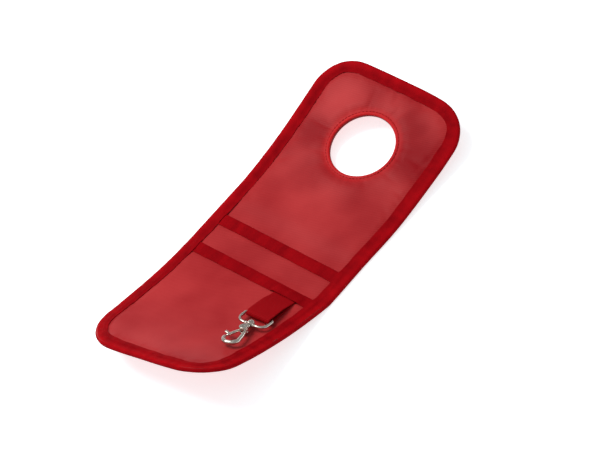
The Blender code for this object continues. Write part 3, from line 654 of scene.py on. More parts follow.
INNER_TOP = 0.0035
OUTER_TOP = 0.0041
RIM_HOLDS = 1.0
BAND_HOLDS = 0.25
CLOTH_HOLDS = 0.04
MOUTH_BAND = 0.010
BAND_RISE = 0.0002
POCKET_CROWN = 0.0003
POCKET_CROWN_REACH = 0.006

# Where the hook lies on the front pocket and presses it flat: across, along, and reach in both
HOOK_LIES = (0.046, 0.066)
HOOK_REACH = (0.026, 0.044)
PRESSED_IN = 0.0002


def make_pocket(name, mouth, top, spare, seed):
    """A pocket's cloth: sewn at its rim, held softly by its mouth's tape, free between them."""
    flat, faces = cut_cloth(end=mouth)
    x, y = flat.T
    inside = inside_rim(x, y)
    bound = y > mouth - MOUTH_BAND
    held = np.where(bound, BAND_HOLDS, CLOTH_HOLDS)
    held = np.where(inside < EDGE_TAPE_WIDTH, RIM_HOLDS, held)
    rise = settle(flat + seed, faces, held, spare, weight=0.3, frames=22, most=0.0007)
    off_hook = ((x - HOOK_LIES[0]) / HOOK_REACH[0]) ** 4 + ((y - HOOK_LIES[1]) / HOOK_REACH[1]) ** 4
    under_hook = np.exp(-off_hook)
    from_stitches = np.maximum(inside - EDGE_STITCH_INSET, 0)
    rise = rise + POCKET_CROWN * (1.0 - np.exp(-from_stitches / POCKET_CROWN_REACH))
    height = top + rise * (1.0 - under_hook) - PRESSED_IN * under_hook
    height = np.where(bound, np.minimum(height, top + BAND_RISE), height)
    points = np.column_stack([flat, height])
    cloth = piece(name + "_cloth", lay(points), faces, coated_cloth, flat + (0.0, seed))
    thicken(cloth, CLOTH)
    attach(cloth, "panel")
    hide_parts(name)
    return cloth


inner_pocket = make_pocket("inner_pocket", INNER_MOUTH, INNER_TOP, spare=0.006, seed=0.37)
outer_pocket = make_pocket("outer_pocket", OUTER_MOUTH, OUTER_TOP, spare=0.008, seed=0.71)


# ---------------------------------------------------------------- Webbing loop
# One length of ribbed polyester webbing. Both its ends are sewn down under the front pocket's
# tape, and it is folded round the eye of the hook. Its upper layer arches off the lower one.

WEBBING = 0.0010
STRAP_WIDTH = 0.0224
STRAP_ACROSS = 0.0403
TAIL_LENGTH = 0.0075
TAIL_HIDDEN = 0.0015
LOOP_RADIUS = 0.0024
STRAP_ARCH = 0.0009
ARCH_LEAN = 0.8
PIVOT_RISE = 0.0030
RIB_PITCH = 0.00105
RIB_DEPTH = 0.00007
YARN_PITCH = 0.0009
POCKET_TAPE_WIDTH = 0.0104

# The webbing's rounded edge: how far in from it, and what share of the thickness is reached
EDGE_POINTS = ((0.0, 0.0), (0.0002, 0.42), (0.0010, 0.5))

# The ribs stop at this share of the half width, and the edges wave and sag by so much
PLAIN_EDGE = 0.93
WAIST = 0.0008
EDGE_SAG = 0.0004

joints = {joint["name"]: joint for joint in frame["joints"]}


def axis_of(name):
    return Vector(joints[name]["axis"]).normalized()


def place_of(name):
    return Vector(joints[name]["pos_m"])


def frame_from(origin, x, y):
    """A frame at origin with these two axes, and its Z square to both."""
    z = x.cross(y).normalized()
    return Matrix.Translation(origin) @ Matrix((x, y, z)).transposed().to_4x4()


def strap_frame():
    """The webbing's frame, with its origin in the middle of the sewn end and Y out along the loop,
    and the loop's length."""
    x = axis_of("strap_hinge")
    reach = place_of("eye_pivot") - place_of("strap_hinge")
    length = math.sqrt(reach.length_squared - PIVOT_RISE**2)
    y = (reach * length + x.cross(reach) * PIVOT_RISE).normalized()
    z = x.cross(y)
    return frame_from(place_of("strap_hinge") - z * PIVOT_RISE, x, y), length


def loft(rows, closed_across=False, closed_along=False):
    """Quads between rows of points, as one list of points and one of faces."""
    rows = np.asarray(rows)
    count, width = rows.shape[:2]
    faces = []
    for i in range(count if closed_along else count - 1):
        for j in range(width if closed_across else width - 1):
            k, m = (i + 1) % count, (j + 1) % width
            faces.append((i * width + j, i * width + m, k * width + m, k * width + j))
    return rows.reshape(-1, 3), faces


def strap_line(length):
    """The webbing's middle line in side view (out, up), evenly spaced from end to end."""
    rise = LOOP_RADIUS - WEBBING / 2
    places = np.linspace(-TAIL_LENGTH - TAIL_HIDDEN, length, 60)
    share = np.clip(places / length, 0.0, 1.0)
    level = WEBBING / 2 + rise * ramp(share, 0.0, 1.0)
    arch = STRAP_ARCH * np.sin(math.pi * share**ARCH_LEAN) ** 2
    angles = np.linspace(-math.pi / 2, math.pi / 2, 14)[1:-1]
    turn = np.stack([length + LOOP_RADIUS * np.cos(angles), LOOP_RADIUS * np.sin(angles)], 1)
    lower = np.stack([places, -level], 1)
    upper = np.stack([places, level + arch], 1)[::-1]
    line = np.concatenate([lower, turn, upper])
    steps = np.append(0.0, np.cumsum(np.linalg.norm(np.diff(line, axis=0), axis=1)))
    even = np.linspace(0.0, steps[-1], round(steps[-1] / (RIB_PITCH / 5)) + 1)
    return np.stack([np.interp(even, steps, line[:, i]) for i in (0, 1)], 1), even


def make_strap(finish):
    """The webbing as one piece that follows its line, ribbed across it, and its frame."""
    turned, length = strap_frame()
    line, run = strap_line(length)
    tangent = np.gradient(line, run, axis=0)
    tangent /= np.linalg.norm(tangent, axis=1)[:, None]
    half = STRAP_WIDTH / 2
    section = [(-half + inset, level) for inset, level in EDGE_POINTS]
    section += [(x, 0.5) for x in np.linspace(-half + 0.003, half - 0.003, 7)]
    section += [(half - inset, level) for inset, level in EDGE_POINTS[::-1]]
    section += [(x, -level) for x, level in section[-2:0:-1]]
    rows, cuts = [], []
    for index, (out, up) in enumerate(line):
        rib = RIB_DEPTH * math.cos(2 * math.pi * run[index] / RIB_PITCH)
        waist = WAIST * noise.noise(Vector((out * 85, 3.0 + (up > 0) * 5, 0.5)))
        sag = EDGE_SAG * noise.noise(Vector((out * 70, up * 300, 9.5)))
        row = []
        for x, level in section:
            edge = abs(x) / half
            lift = level * (WEBBING + 2 * rib * (edge < PLAIN_EDGE)) + sag * edge**2
            side = x * (1.0 + waist / half)
            row.append((side, out - tangent[index][1] * lift, up + tangent[index][0] * lift))
            cuts.append((x, run[index]))
        rows.append(row)
    rows = np.array(rows)
    laid = rows.reshape(-1, 3) @ np.array(turned.to_3x3()).T + np.array(turned.translation)
    points, faces = loft(laid.reshape(rows.shape), closed_across=True)
    width = len(section)
    last = len(points) - width
    faces.append(tuple(range(width))[::-1])
    faces.append(tuple(range(last, last + width)))
    return piece("webbing_loop", points, faces, finish, cuts), turned


def webbing_look():
    """Polyester webbing: ribs across it, yarns along it, and a slight fuzz."""
    finish = Finish("webbing", Specular_IOR_Level=0.03, Roughness=0.65)
    cut, across, along = finish.cut_places()
    rib = along.wave(RIB_PITCH)
    yarn = across.wave(YARN_PITCH)
    fuzz = finish.speckle(cut, scale=2400.0, detail=3.0)
    dusk = finish.speckle(cut, scale=60.0)
    share = rib * 0.35 + fuzz * 0.4 + dusk * 0.3
    finish.feed(Base_Color=finish.between(share, (0.20, 0.001, 0.003), (0.38, 0.004, 0.008)))
    finish.bump(rib * 0.5 + yarn * rib * 0.5 + fuzz * 0.4, depth=0.00012, strength=0.7)
    return finish


strap, strap_place = make_strap(webbing_look())
strap_place @ Vector((0.0, -0.0005, 0.0))
strap_place @ Vector((0.0, 0.0035, 0.0))
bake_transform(strap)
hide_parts("strap_tail", "hook_strap")


# ---------------------------------------------------------------- Mouth tapes
# Soft woven tape, folded over each pocket's mouth and sewn through near its lower edge. The front
# pocket's tape also covers the ends of the webbing, and rises over them.

TAPE = 0.0004
RIM_TURN = 0.0106
TAPE_RIB_PITCH = 0.00055
TAPE_YARN_PITCH = 0.0008
STRAP_END_ALONG = OUTER_MOUTH - POCKET_TAPE_WIDTH - 0.0010
BUMP_RAMP = 0.0055
BUMP_HEIGHT = 2 * WEBBING + 0.0002


def strap_bump(across, along):
    """How far the sewn-in webbing lifts the tape that covers it."""
    half = STRAP_WIDTH / 2
    over = 1.0 - ramp(np.abs(across - STRAP_ACROSS), half, half + BUMP_RAMP)
    tail_end = STRAP_END_ALONG + TAIL_LENGTH
    return BUMP_HEIGHT * over * (1.0 - ramp(along, tail_end - 0.001, OUTER_MOUTH))


def tape_finish():
    """Soft woven binding tape: fine ribs across it and dull, with a painted highlight where it turns
    the rim and painted shade on its underside below that."""
    finish = Finish("binding_tape", Specular_IOR_Level=0.02)
    cut, run, over = finish.cut_places()
    ribs = run.wave(TAPE_RIB_PITCH)
    yarns = over.wave(TAPE_YARN_PITCH)
    fuzz = finish.speckle(cut, scale=1900.0, detail=3.0)
    cloud = finish.speckle(cut, scale=110.0, detail=4.0)
    # A painted highlight along the rounded turn of the rim.
    turned = 1.0 - ((over - RIM_TURN) / 0.0028).math("ABSOLUTE")
    # Painted shade on the tape's underside, below the turn.
    below = ((RIM_TURN - 0.0026 - over) / 0.003).clamped()
    share = ribs * 0.24 + fuzz * 0.5 + cloud * 0.9 + turned.math("MAXIMUM", 0.0) * 0.36 - 0.48
    share = share - below * 0.6
    finish.feed(Base_Color=finish.between(share, (0.17, 0.0006, 0.003), (0.47, 0.003, 0.007)))
    finish.feed(Roughness=0.62 + fuzz * 0.15)
    finish.bump(ribs * 0.6 + yarns * 0.25 + fuzz * 0.5, depth=0.00008, strength=0.6)
    return finish


binding_tape = tape_finish()


def soft(obj):
    """Rounds a coarse piece with one subdivision."""
    subdivide = obj.modifiers.new("soft", "SUBSURF")
    subdivide.levels = 1
    subdivide.render_levels = 1
    return obj


# The tape's section over a mouth: how far past the mouth, and how high over the pocket's cloth.
# The webbing lifts only the points of its upper leg, and its lower edge is free to curl up.
MOUTH_PROFILE = (
    (-POCKET_TAPE_WIDTH, 0.00055), (-POCKET_TAPE_WIDTH + 0.0003, 0.00065),
    (-POCKET_TAPE_WIDTH + 0.0012, 0.00055), (-0.0088, 0.00050), (-0.0076, 0.00056),
    (-0.0055, 0.00066), (-0.0030, 0.00068), (-0.0012, 0.00066), (-0.0002, 0.00060),
    (0.0004, 0.00035), (0.0006, 0.0), (0.0005, -0.0003), (0.0002, -0.00045),
)
UPPER_LEG_POINTS = 11
FREE_POINTS = 3.0
MOUTH_TAPE_END = 0.0082
MOUTH_TAPE_CUT = 0.0140


def mouth_tape(name, mouth, top, seed, lift=None):
    """Tape over one mouth, from under the edge tape on one side to the other."""
    reach = PANEL_WIDTH / 2 - MOUTH_TAPE_END
    rows, cuts = [], []
    for x in np.linspace(-reach, reach, 92):
        wave = 0.0004 * noise.noise(Vector((x * 95, seed, 0.0)))
        wave += 0.00025 * noise.noise(Vector((x * 240, seed, 4.0)))
        curl_up = 0.00022 + 0.0002 * noise.noise(Vector((x * 130, seed, 8.0)))
        row = []
        for index, (past, up) in enumerate(MOUTH_PROFILE):
            free = max(0.0, 1.0 - index / FREE_POINTS)
            along = mouth + past + wave * (0.35 + 0.65 * free)
            height = top + up + curl_up * free
            if lift and index < UPPER_LEG_POINTS:
                height += float(lift(x, along))
            row.append((x, along, height))
            cuts.append((x + seed, MOUTH_TAPE_CUT + 0.0004 * index))
        rows.append(row)
    rows = np.array(rows)
    points, faces = loft(lay(rows.reshape(-1, 3)).reshape(rows.shape))
    tape = soft(piece(name + "_tape", points, faces, binding_tape, cuts))
    thicken(tape, TAPE)
    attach(tape, "panel")
    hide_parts(name)


mouth_tape("inner_pocket_binding", INNER_MOUTH, INNER_TOP, seed=2.3)
mouth_tape("outer_pocket_binding", OUTER_MOUTH, OUTER_TOP, seed=6.1, lift=strap_bump)


# ---------------------------------------------------------------- Edge binding
# The same tape, 22 mm wide, folded over the whole rim so that half of it shows on each face, and
# sewn through near its inner edge. It puffs up outside the stitches, its inner edge waves a
# little, and its two ends overlap on the pocket end.

JOIN_PLACE = 0.022
JOIN_LENGTH = 0.016
JOIN_STEP = 0.0015
JOIN_HEIGHT = 0.0003
JOIN_SPREAD = 0.0006

# The tape's section from the rear leg's inner edge, round the rim, to the front leg's inner edge:
# how far in from the rim, and the height off the table. Past FOLD_POINT it is the front leg. Its
# last points lie on whatever cloth or tape is under them, and OVER_SEAM has their height over it.
EDGE_PROFILE = (
    (0.0108, 0.00040), (0.0098, 0.00030), (0.0088, 0.00024), (0.0070, 0.00008), (0.0045, 0.0),
    (0.0022, 0.00006), (0.0010, 0.00040), (0.0003, 0.00105), (0.0, 0.00190), (0.0002, 0.00275),
    (0.0009, 0.00345), (0.0022, 0.00395), (0.0040, 0.00410), (0.0058, 0.00405),
)
OVER_SEAM = (
    (0.0074, 0.00080), (0.0088, 0.00046), (0.0096, 0.00050), (0.0104, 0.00054), (0.0108, 0.00054),
)
FOLD_POINT = 8
EDGE_STEP = 0.0021
EDGE_WAVE = 0.00065
EDGE_RIPPLE = 0.0002
EDGE_PUFF = 0.00035
SIDE_SPREAD = 0.0012
CORNER_DRAW = 0.0008
MOUTH_TAPE_STEP = 0.0006
FREE_EDGE = 0.0095


def layers_top(across, along):
    """Height of the cloth that the edge tape's front leg lies on."""
    def tape_over(mouth):
        start = mouth - POCKET_TAPE_WIDTH
        return ramp(along, start - 0.001, start + 0.001) - ramp(along, mouth, mouth + 0.002)

    def pocket_under(mouth):
        return 1 - ramp(along, mouth, mouth + 0.003)

    top = FACING_SEAM + (INNER_TOP - FACING_SEAM) * pocket_under(INNER_MOUTH)
    top = top + (OUTER_TOP - INNER_TOP) * pocket_under(OUTER_MOUTH)
    return top + MOUTH_TAPE_STEP * (tape_over(INNER_MOUTH) + tape_over(OUTER_MOUTH))


def tape_spread(ways):
    """How much wider the front leg lies than it was folded: more on the sides, less in corners."""
    side = np.abs(ways[:, 0]) ** 4
    corner = (2 * ways[:, 0] * ways[:, 1]) ** 2
    return SIDE_SPREAD * side - CORNER_DRAW * corner


def join_lap(place):
    """1 where the tape's two ends overlap on the pocket end, and 0 elsewhere."""
    if place[1] >= 0.001:
        return 0.0
    far = JOIN_PLACE + JOIN_LENGTH
    lap = float(ramp(place[0], JOIN_PLACE, JOIN_PLACE + JOIN_STEP))
    return lap - float(ramp(place[0], far, far + JOIN_STEP))


def edge_tape():
    """Tape round the whole rim, with a wavy inner edge, puffs and a lapped join."""
    places, ways = rim(EDGE_STEP)
    spread = tape_spread(ways)
    places = drawn_rim(places, ways)
    run = np.append(0.0, np.cumsum(np.linalg.norm(np.diff(places, axis=0), axis=1)))
    total = run[-1] + EDGE_STEP
    rows, cuts = [], []
    for index, (place, way) in enumerate(zip(places, ways)):
        turn = 2 * math.pi * run[index] / total
        ring = Vector((math.cos(turn), math.sin(turn), 0.0))
        wave = spread[index] + EDGE_WAVE * noise.noise(ring * 16)
        wave += EDGE_RIPPLE * noise.noise(ring * 45 + Vector((0, 0, 3)))
        puff = EDGE_PUFF * noise.noise(ring * 28 + Vector((0, 0, 7)))
        lap = join_lap(place)
        row = []
        for step, (inset, height) in enumerate(EDGE_PROFILE + OVER_SEAM):
            front = (inset if step > FOLD_POINT else 0.0) / EDGE_TAPE_WIDTH
            deep = inset + wave * front**2 + JOIN_SPREAD * lap * front**3
            x, y = place - way * deep
            if step >= len(EDGE_PROFILE):
                height = float(layers_top(x, y)) + height + JOIN_HEIGHT * lap
                height += max(0.0, puff) * (inset > FREE_EDGE)
            elif step > FOLD_POINT:
                height += puff + JOIN_HEIGHT * lap
            row.append((x, y, height))
            cuts.append((run[index], 0.001 * step))
        rows.append(row)
    rows = np.array(rows)
    laid = lay(rows.reshape(-1, 3)).reshape(rows.shape)
    points, faces = loft(laid, closed_along=True)
    return soft(piece("edge_binding_tape", points, faces, binding_tape, cuts))


edge = thicken(edge_tape(), TAPE)
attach(edge, "panel")
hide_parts("edge_binding")


# ---------------------------------------------------------------- Stitch lines
# Lock stitches in red polyester thread, about 3 mm long: round the edge tape, along both mouth tapes
# and round the hole's turned rim. Each stitch is one long rounded grain.

STITCH_PITCH = 0.0031
STITCH_LENGTH = 0.0027
THREAD = 0.00045
MOUTH_STITCH_INSET = 0.0088
MOUTH_STITCH_END = 0.0006

# How far the stitches' middles stand over the cloth under each row
EDGE_STITCH_RISE = 0.00055
MOUTH_STITCH_RISE = 0.00056
HOLE_STITCH_RISE = 0.0001


def stitch_tree():
    """Geometry nodes that set one rounded stitch after another along a line."""
    tree = bpy.data.node_groups.new("stitch_row", "GeometryNodeTree")
    face = tree.interface
    face.new_socket("Line", in_out="INPUT", socket_type="NodeSocketGeometry")
    for name in ("Pitch", "Stitch length", "Thread"):
        face.new_socket(name, in_out="INPUT", socket_type="NodeSocketFloat")
    face.new_socket("Finish", in_out="INPUT", socket_type="NodeSocketMaterial")
    face.new_socket("Stitches", in_out="OUTPUT", socket_type="NodeSocketGeometry")
    add, link = tree.nodes.new, tree.links.new
    given, result = add("NodeGroupInput"), add("NodeGroupOutput")
    curve = add("GeometryNodeMeshToCurve")
    spaced = add("GeometryNodeResampleCurve")
    spaced.mode = "LENGTH"
    ball = add("GeometryNodeMeshUVSphere")
    ball.inputs["Segments"].default_value = 8
    ball.inputs["Rings"].default_value = 6
    ball.inputs["Radius"].default_value = 0.5
    tangent = add("GeometryNodeInputTangent")
    align = add("FunctionNodeAlignRotationToVector")
    align.axis = "X"
    size = add("ShaderNodeCombineXYZ")
    place = add("GeometryNodeInstanceOnPoints")
    real = add("GeometryNodeRealizeInstances")
    smooth = add("GeometryNodeSetShadeSmooth")
    paint = add("GeometryNodeSetMaterial")
    link(given.outputs["Line"], curve.inputs[0])
    link(curve.outputs[0], spaced.inputs["Curve"])
    link(given.outputs["Pitch"], spaced.inputs["Length"])
    link(spaced.outputs[0], place.inputs["Points"])
    link(ball.outputs["Mesh"], place.inputs["Instance"])
    link(tangent.outputs[0], align.inputs["Vector"])
    link(align.outputs[0], place.inputs["Rotation"])
    link(given.outputs["Stitch length"], size.inputs[0])
    link(given.outputs["Thread"], size.inputs[1])
    link(given.outputs["Thread"], size.inputs[2])
    link(size.outputs[0], place.inputs["Scale"])
    link(place.outputs[0], real.inputs[0])
    link(real.outputs[0], smooth.inputs[0])
    link(smooth.outputs[0], paint.inputs[0])
    link(given.outputs["Finish"], paint.inputs["Material"])
    link(paint.outputs[0], result.inputs[0])
    return tree


def run_nodes(name, mesh, tree, values):
    """The plain mesh that a tree makes of a mesh, with its named inputs set."""
    obj = bpy.data.objects.new(name, mesh)
    bpy.context.scene.collection.objects.link(obj)
    modifier = obj.modifiers.new(name, "NODES")
    modifier.node_group = tree
    for item in tree.interface.items_tree:
        if item.in_out == "INPUT" and item.name in values:
            modifier[item.identifier] = values[item.name]
    depsgraph = bpy.context.evaluated_depsgraph_get()
    made = bpy.data.meshes.new_from_object(obj.evaluated_get(depsgraph))
    obj.modifiers.remove(modifier)
    obj.data = made
    made.name = name
    return obj


thread_finish = Finish("thread", Specular_IOR_Level=0.05, Roughness=0.55)
where = thread_finish.node("ShaderNodeTexCoord", {}, output="Object")
twist = thread_finish.speckle(where, scale=3500.0)
thread_red = thread_finish.between(twist, (0.20, 0.001, 0.003), (0.36, 0.003, 0.006))
thread_finish.feed(Base_Color=thread_red)
thread_finish.bump(twist, depth=0.00008, strength=0.7)
stitches = stitch_tree()


def stitch_row(node, places, height, closed):
    """One stitch line through places of the flat cut, at a height over each."""
    laid = lay(np.column_stack([places, height]))
    count = len(laid)
    edges = [(i, i + 1) for i in range(count - 1)] + ([(count - 1, 0)] if closed else [])
    mesh = bpy.data.meshes.new(node)
    mesh.from_pydata(laid.tolist(), edges, [])
    values = {
        "Pitch": STITCH_PITCH, "Stitch length": STITCH_LENGTH, "Thread": THREAD,
        "Finish": thread_finish.material,
    }
    row = run_nodes(node + "_stitches", mesh, stitches, values)
    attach(row, "panel")
    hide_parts(node)
    return row


places, ways = rim(step=0.0015)
line = drawn_rim(places, ways) - ways * (EDGE_STITCH_INSET + tape_spread(ways))[:, None]
stitch_row("edge_binding_thread", line, layers_top(*line.T) + EDGE_STITCH_RISE, closed=True)
reach = np.linspace(-1.0, 1.0, 90) * (PANEL_WIDTH / 2 - EDGE_TAPE_WIDTH - MOUTH_STITCH_END)
for node, mouth, top, lift in (
    ("inner_pocket_thread", INNER_MOUTH, INNER_TOP, None),
    ("outer_pocket_thread", OUTER_MOUTH, OUTER_TOP, strap_bump),
):
    along = np.full(len(reach), mouth - MOUTH_STITCH_INSET)
    height = np.full(len(reach), top + MOUTH_STITCH_RISE)
    if lift:
        height = height + lift(reach, along)
    stitch_row(node, np.column_stack([reach, along]), height, closed=False)
angles = np.linspace(0.0, 2 * math.pi, 181)[:-1]
ring = (HOLE_RADIUS + HOLE_STITCH_INSET) * np.stack([np.cos(angles), np.sin(angles)], 1)
ring[:, 1] += HOLE_ALONG
height = facing_height(*ring.T) + HOLE_STITCH_RISE
hole_stitches = stitch_row("hole_thread", ring, height, closed=True)


# ---------------------------------------------------------------- Swivel eye
# A zinc casting, nickel plated: a D of round wire whose straight side runs through the webbing
# loop, with a bored hub on its far side in which the hook's stem turns.

EYE_WIRE = 0.00125
EYE_DEPTH = 0.0130
EYE_CORNER = 0.0070
EYE_GAP = 0.0004
HUB_RADIUS = 0.0030
HUB_LENGTH = 0.0038
BORE_RADIUS = 0.0018
CHAMFER = 0.0003
CAST_VOXEL = 0.00015

# The wire's thick ends, which run into the hub: where they start and end, and their radii
KNOB_FROM = HUB_RADIUS - 0.0004
KNOB_TO = HUB_RADIUS + 0.0012
KNOB_RADII = (0.0019, 0.0016)


def rod(points, radii, sides=16, flat=1.0):
    """A closed round bar through points, in its own plane, with rounded ends."""
    points = [Vector(p) for p in points]
    radii = list(radii) if hasattr(radii, "__len__") else [radii] * len(points)
    for end, step in ((0, 1), (-1, -2)):
        inner = points[step]
        away = (points[end] - inner).normalized()
        tip, radius = points[end], radii[end]
        caps = [(tip + away * radius * math.sin(a), radius * math.cos(a)) for a in (0.5, 1.0, 1.4)]
        if end == 0:
            points = [p for p, _ in reversed(caps)] + points
            radii = [r for _, r in reversed(caps)] + radii
        else:
            points = points + [p for p, _ in caps]
            radii = radii + [r for _, r in caps]
    rows = []
    up = Vector((0.0, 0.0, 1.0))
    for index, point in enumerate(points):
        ahead = points[min(index + 1, len(points) - 1)] - points[max(index - 1, 0)]
        side = up.cross(ahead).normalized()
        lift = ahead.cross(side).normalized()
        row = []
        for step in range(sides):
            angle = 2 * math.pi * step / sides
            offset = side * math.cos(angle) + lift * math.sin(angle) * flat
            row.append(tuple(point + offset * radii[index]))
        rows.append(row)
    made, faces = loft(rows, closed_across=True)
    last = len(made) - sides
    return made, [*faces, tuple(range(sides))[::-1], tuple(range(last, last + sides))]


def barrel(low, high, bore, radius):
    """Section of a bored barrel with chamfered ends, as (out, radius) pairs."""
    return [
        (low, bore), (low, radius - CHAMFER), (low + CHAMFER, radius),
        (high - CHAMFER, radius), (high, radius - CHAMFER), (high, bore),
    ]


def turned(profile, axis="Y", sides=40):
    """A closed ring or solid turned from (out, radius) pairs that go once round its section."""
    rows = []
    for step in range(sides):
        angle = 2 * math.pi * step / sides
        round_it = [(r * math.cos(angle), out, r * math.sin(angle)) for out, r in profile]
        if axis == "Z":
            round_it = [(x, z, y) for x, y, z in round_it]
        rows.append(round_it)
    return loft(rows, closed_across=True, closed_along=True)


def cast(name, shapes, place, finish, voxel=CAST_VOXEL):
    """Shapes melted into one casting with small fillets, then put in place."""
    points, faces = [], []
    for shape_points, shape_faces in shapes:
        start = len(points)
        points += [tuple(p) for p in shape_points]
        faces += [tuple(start + i for i in face) for face in shape_faces]
    mesh = bpy.data.meshes.new(name)
    mesh.from_pydata(points, [], faces)
    obj = bpy.data.objects.new(name, mesh)
    bpy.context.scene.collection.objects.link(obj)
    melt = obj.modifiers.new("melt", "REMESH")
    melt.mode = "VOXEL"
    melt.voxel_size = voxel
    even = obj.modifiers.new("even", "SMOOTH")
    even.factor = 0.5
    even.iterations = 6
    depsgraph = bpy.context.evaluated_depsgraph_get()
    made = bpy.data.meshes.new_from_object(obj.evaluated_get(depsgraph))
    obj.modifiers.clear()
    made.name = name
    made.transform(place)
    made.materials.clear()
    made.materials.append(finish.material)
    made.shade_smooth()
    obj.data = made
    return obj


def nickel_finish():
    """Nickel plate over a die casting: satin and slightly uneven, paler on worn edges, and darkened
    with painted shade in the hollows.
    """
    finish = Finish("nickel", Metallic=1.0)
    where = finish.node("ShaderNodeTexCoord", {}, output="Object")
    pits = finish.speckle(where, scale=1500.0, detail=4.0)
    haze = finish.speckle(where, scale=260.0, detail=3.0)
    # Convex edges paler with wear, and hollows darkened with painted shade.
    edge = finish.node("ShaderNodeNewGeometry", {}, output="Pointiness")
    wear_and_painted_light = finish.node("ShaderNodeMapRange", {}, {"Value": edge, "From Min": 0.44, "From Max": 0.56})
    bright = wear_and_painted_light * 0.75 + haze * 0.35
    finish.feed(Base_Color=finish.between(bright, (0.18, 0.14, 0.11), (0.92, 0.85, 0.76)))
    finish.feed(Roughness=0.12 + haze * 0.12 + pits * 0.06)
    finish.bump(pits * 0.4 + haze, depth=0.00010, strength=0.5)
    return finish


def arc(centre, radius, start, end, count):
    """Points on an arc in the plane, both ends included."""
    return [
        (centre[0] + radius * math.cos(a), centre[1] + radius * math.sin(a), 0.0)
        for a in np.linspace(start, end, count)
    ]


nickel = nickel_finish()
eye_place = frame_from(place_of("eye_pivot"), axis_of("eye_pivot"), axis_of("hook_swivel"))
half = STRAP_WIDTH / 2 + EYE_GAP + EYE_WIRE
quarter = math.pi / 2
far = EYE_DEPTH - EYE_CORNER
gap = (HUB_RADIUS + BORE_RADIUS) / 2
wire = [(gap, EYE_DEPTH, 0.0)]
wire += arc((half - EYE_CORNER, far), EYE_CORNER, quarter, 0.0, 9)
wire += arc((half - EYE_WIRE, EYE_WIRE), EYE_WIRE, 0.0, -quarter, 5)
wire += arc((EYE_WIRE - half, EYE_WIRE), EYE_WIRE, 3 * quarter, 2 * quarter, 5)
wire += arc((EYE_CORNER - half, far), EYE_CORNER, 2 * quarter, quarter, 9)
wire += [(-gap, EYE_DEPTH, 0.0)]
hub = barrel(EYE_DEPTH - HUB_LENGTH / 2, EYE_DEPTH + HUB_LENGTH / 2, BORE_RADIUS, HUB_RADIUS)
knobs = [
    rod([(side * KNOB_FROM, EYE_DEPTH, 0.0), (side * KNOB_TO, EYE_DEPTH, 0.0)], KNOB_RADII)
    for side in (-1, 1)
]
swivel_eye = cast("swivel_eye_cast", [rod(wire, EYE_WIRE), turned(hub), *knobs], eye_place, nickel)
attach(swivel_eye, "eye")
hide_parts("swivel_eye")


# ---------------------------------------------------------------- Hook body, pin and spring
# The second casting: a mushroom head inside the eye, a stem through its hub, a collar, a forked
# boss for the gate and the claw. The pin is riveted through the boss, and the spring is on it.

HOOK_LENGTH = 0.0430
HOOK_WIRE = 0.0015
CLAW_RADIUS = 0.0068
STEM_RADIUS = 0.0015
STEM_HEAD_RADIUS = 0.0027
STEM_HEAD_LENGTH = 0.0020
STEM_PLAY = 0.0003
COLLAR_RADIUS = 0.0024
BOSS_RADIUS = 0.0036
BOSS_HEIGHT = 0.0058
BOSS_ALONG = 0.0208
SLOT_HEIGHT = 0.0031
PIN_OFFSET = 0.0008
PIN_RADIUS = 0.0007
PIN_PLAY = 0.0001
SHANK_ACROSS = -0.0020
SHANK_BOW = 0.0007
CLAW_SWELL = 0.25
CLAW_START = math.radians(168.0)
CLAW_TIP = math.radians(4.0)

# The stem's two ends close to a point this small, inside the castings
HAIR = 0.00005

hook_frame = frame_from(
    place_of("hook_swivel"), axis_of("hook_swivel").cross(axis_of("gate_pivot")),
    axis_of("hook_swivel"),
)
claw = arc((0.0, HOOK_LENGTH - CLAW_RADIUS), CLAW_RADIUS, CLAW_START, -CLAW_TIP, 30)
shank_start = Vector((SHANK_ACROSS, BOSS_ALONG, 0.0))
shank = [shank_start.lerp(Vector(claw[0]), t / 6) for t in range(6)]
shank = [(p.x - SHANK_BOW * math.sin(math.pi * t / 6), p.y, 0.0) for t, p in enumerate(shank)]
claw_line = [*shank, *claw]
count = len(claw_line)
swell = [1.0 + CLAW_SWELL * math.sin(math.pi * t / count) for t in range(count)]
swell[-3:] = [0.95, 0.8, 0.6]
low = EYE_DEPTH - HUB_LENGTH / 2 - STEM_PLAY
high = EYE_DEPTH + HUB_LENGTH / 2 + STEM_PLAY
neck = (high + BOSS_ALONG) / 2
neck_radius = STEM_RADIUS + 0.0003
stem_end = BOSS_ALONG - 0.001
stem = [
    (low - STEM_HEAD_LENGTH, HAIR), (low - STEM_HEAD_LENGTH, STEM_HEAD_RADIUS * 0.5),
    (low - STEM_HEAD_LENGTH * 0.65, STEM_HEAD_RADIUS * 0.92),
    (low - STEM_HEAD_LENGTH * 0.3, STEM_HEAD_RADIUS), (low, STEM_HEAD_RADIUS),
    (low, STEM_RADIUS), (high, STEM_RADIUS), (high, COLLAR_RADIUS), (neck - 0.0007, COLLAR_RADIUS),
    (neck, neck_radius), (stem_end, neck_radius), (stem_end, HAIR),
]


def cheek(height, thick):
    """One side of the fork: a round-edged plate about the pin."""
    profile = barrel(height - thick / 2, height + thick / 2, PIN_RADIUS + PIN_PLAY, BOSS_RADIUS)
    points, faces = turned(profile[::-1], axis="Z")
    return points + np.array([0.0, BOSS_ALONG, 0.0]), faces


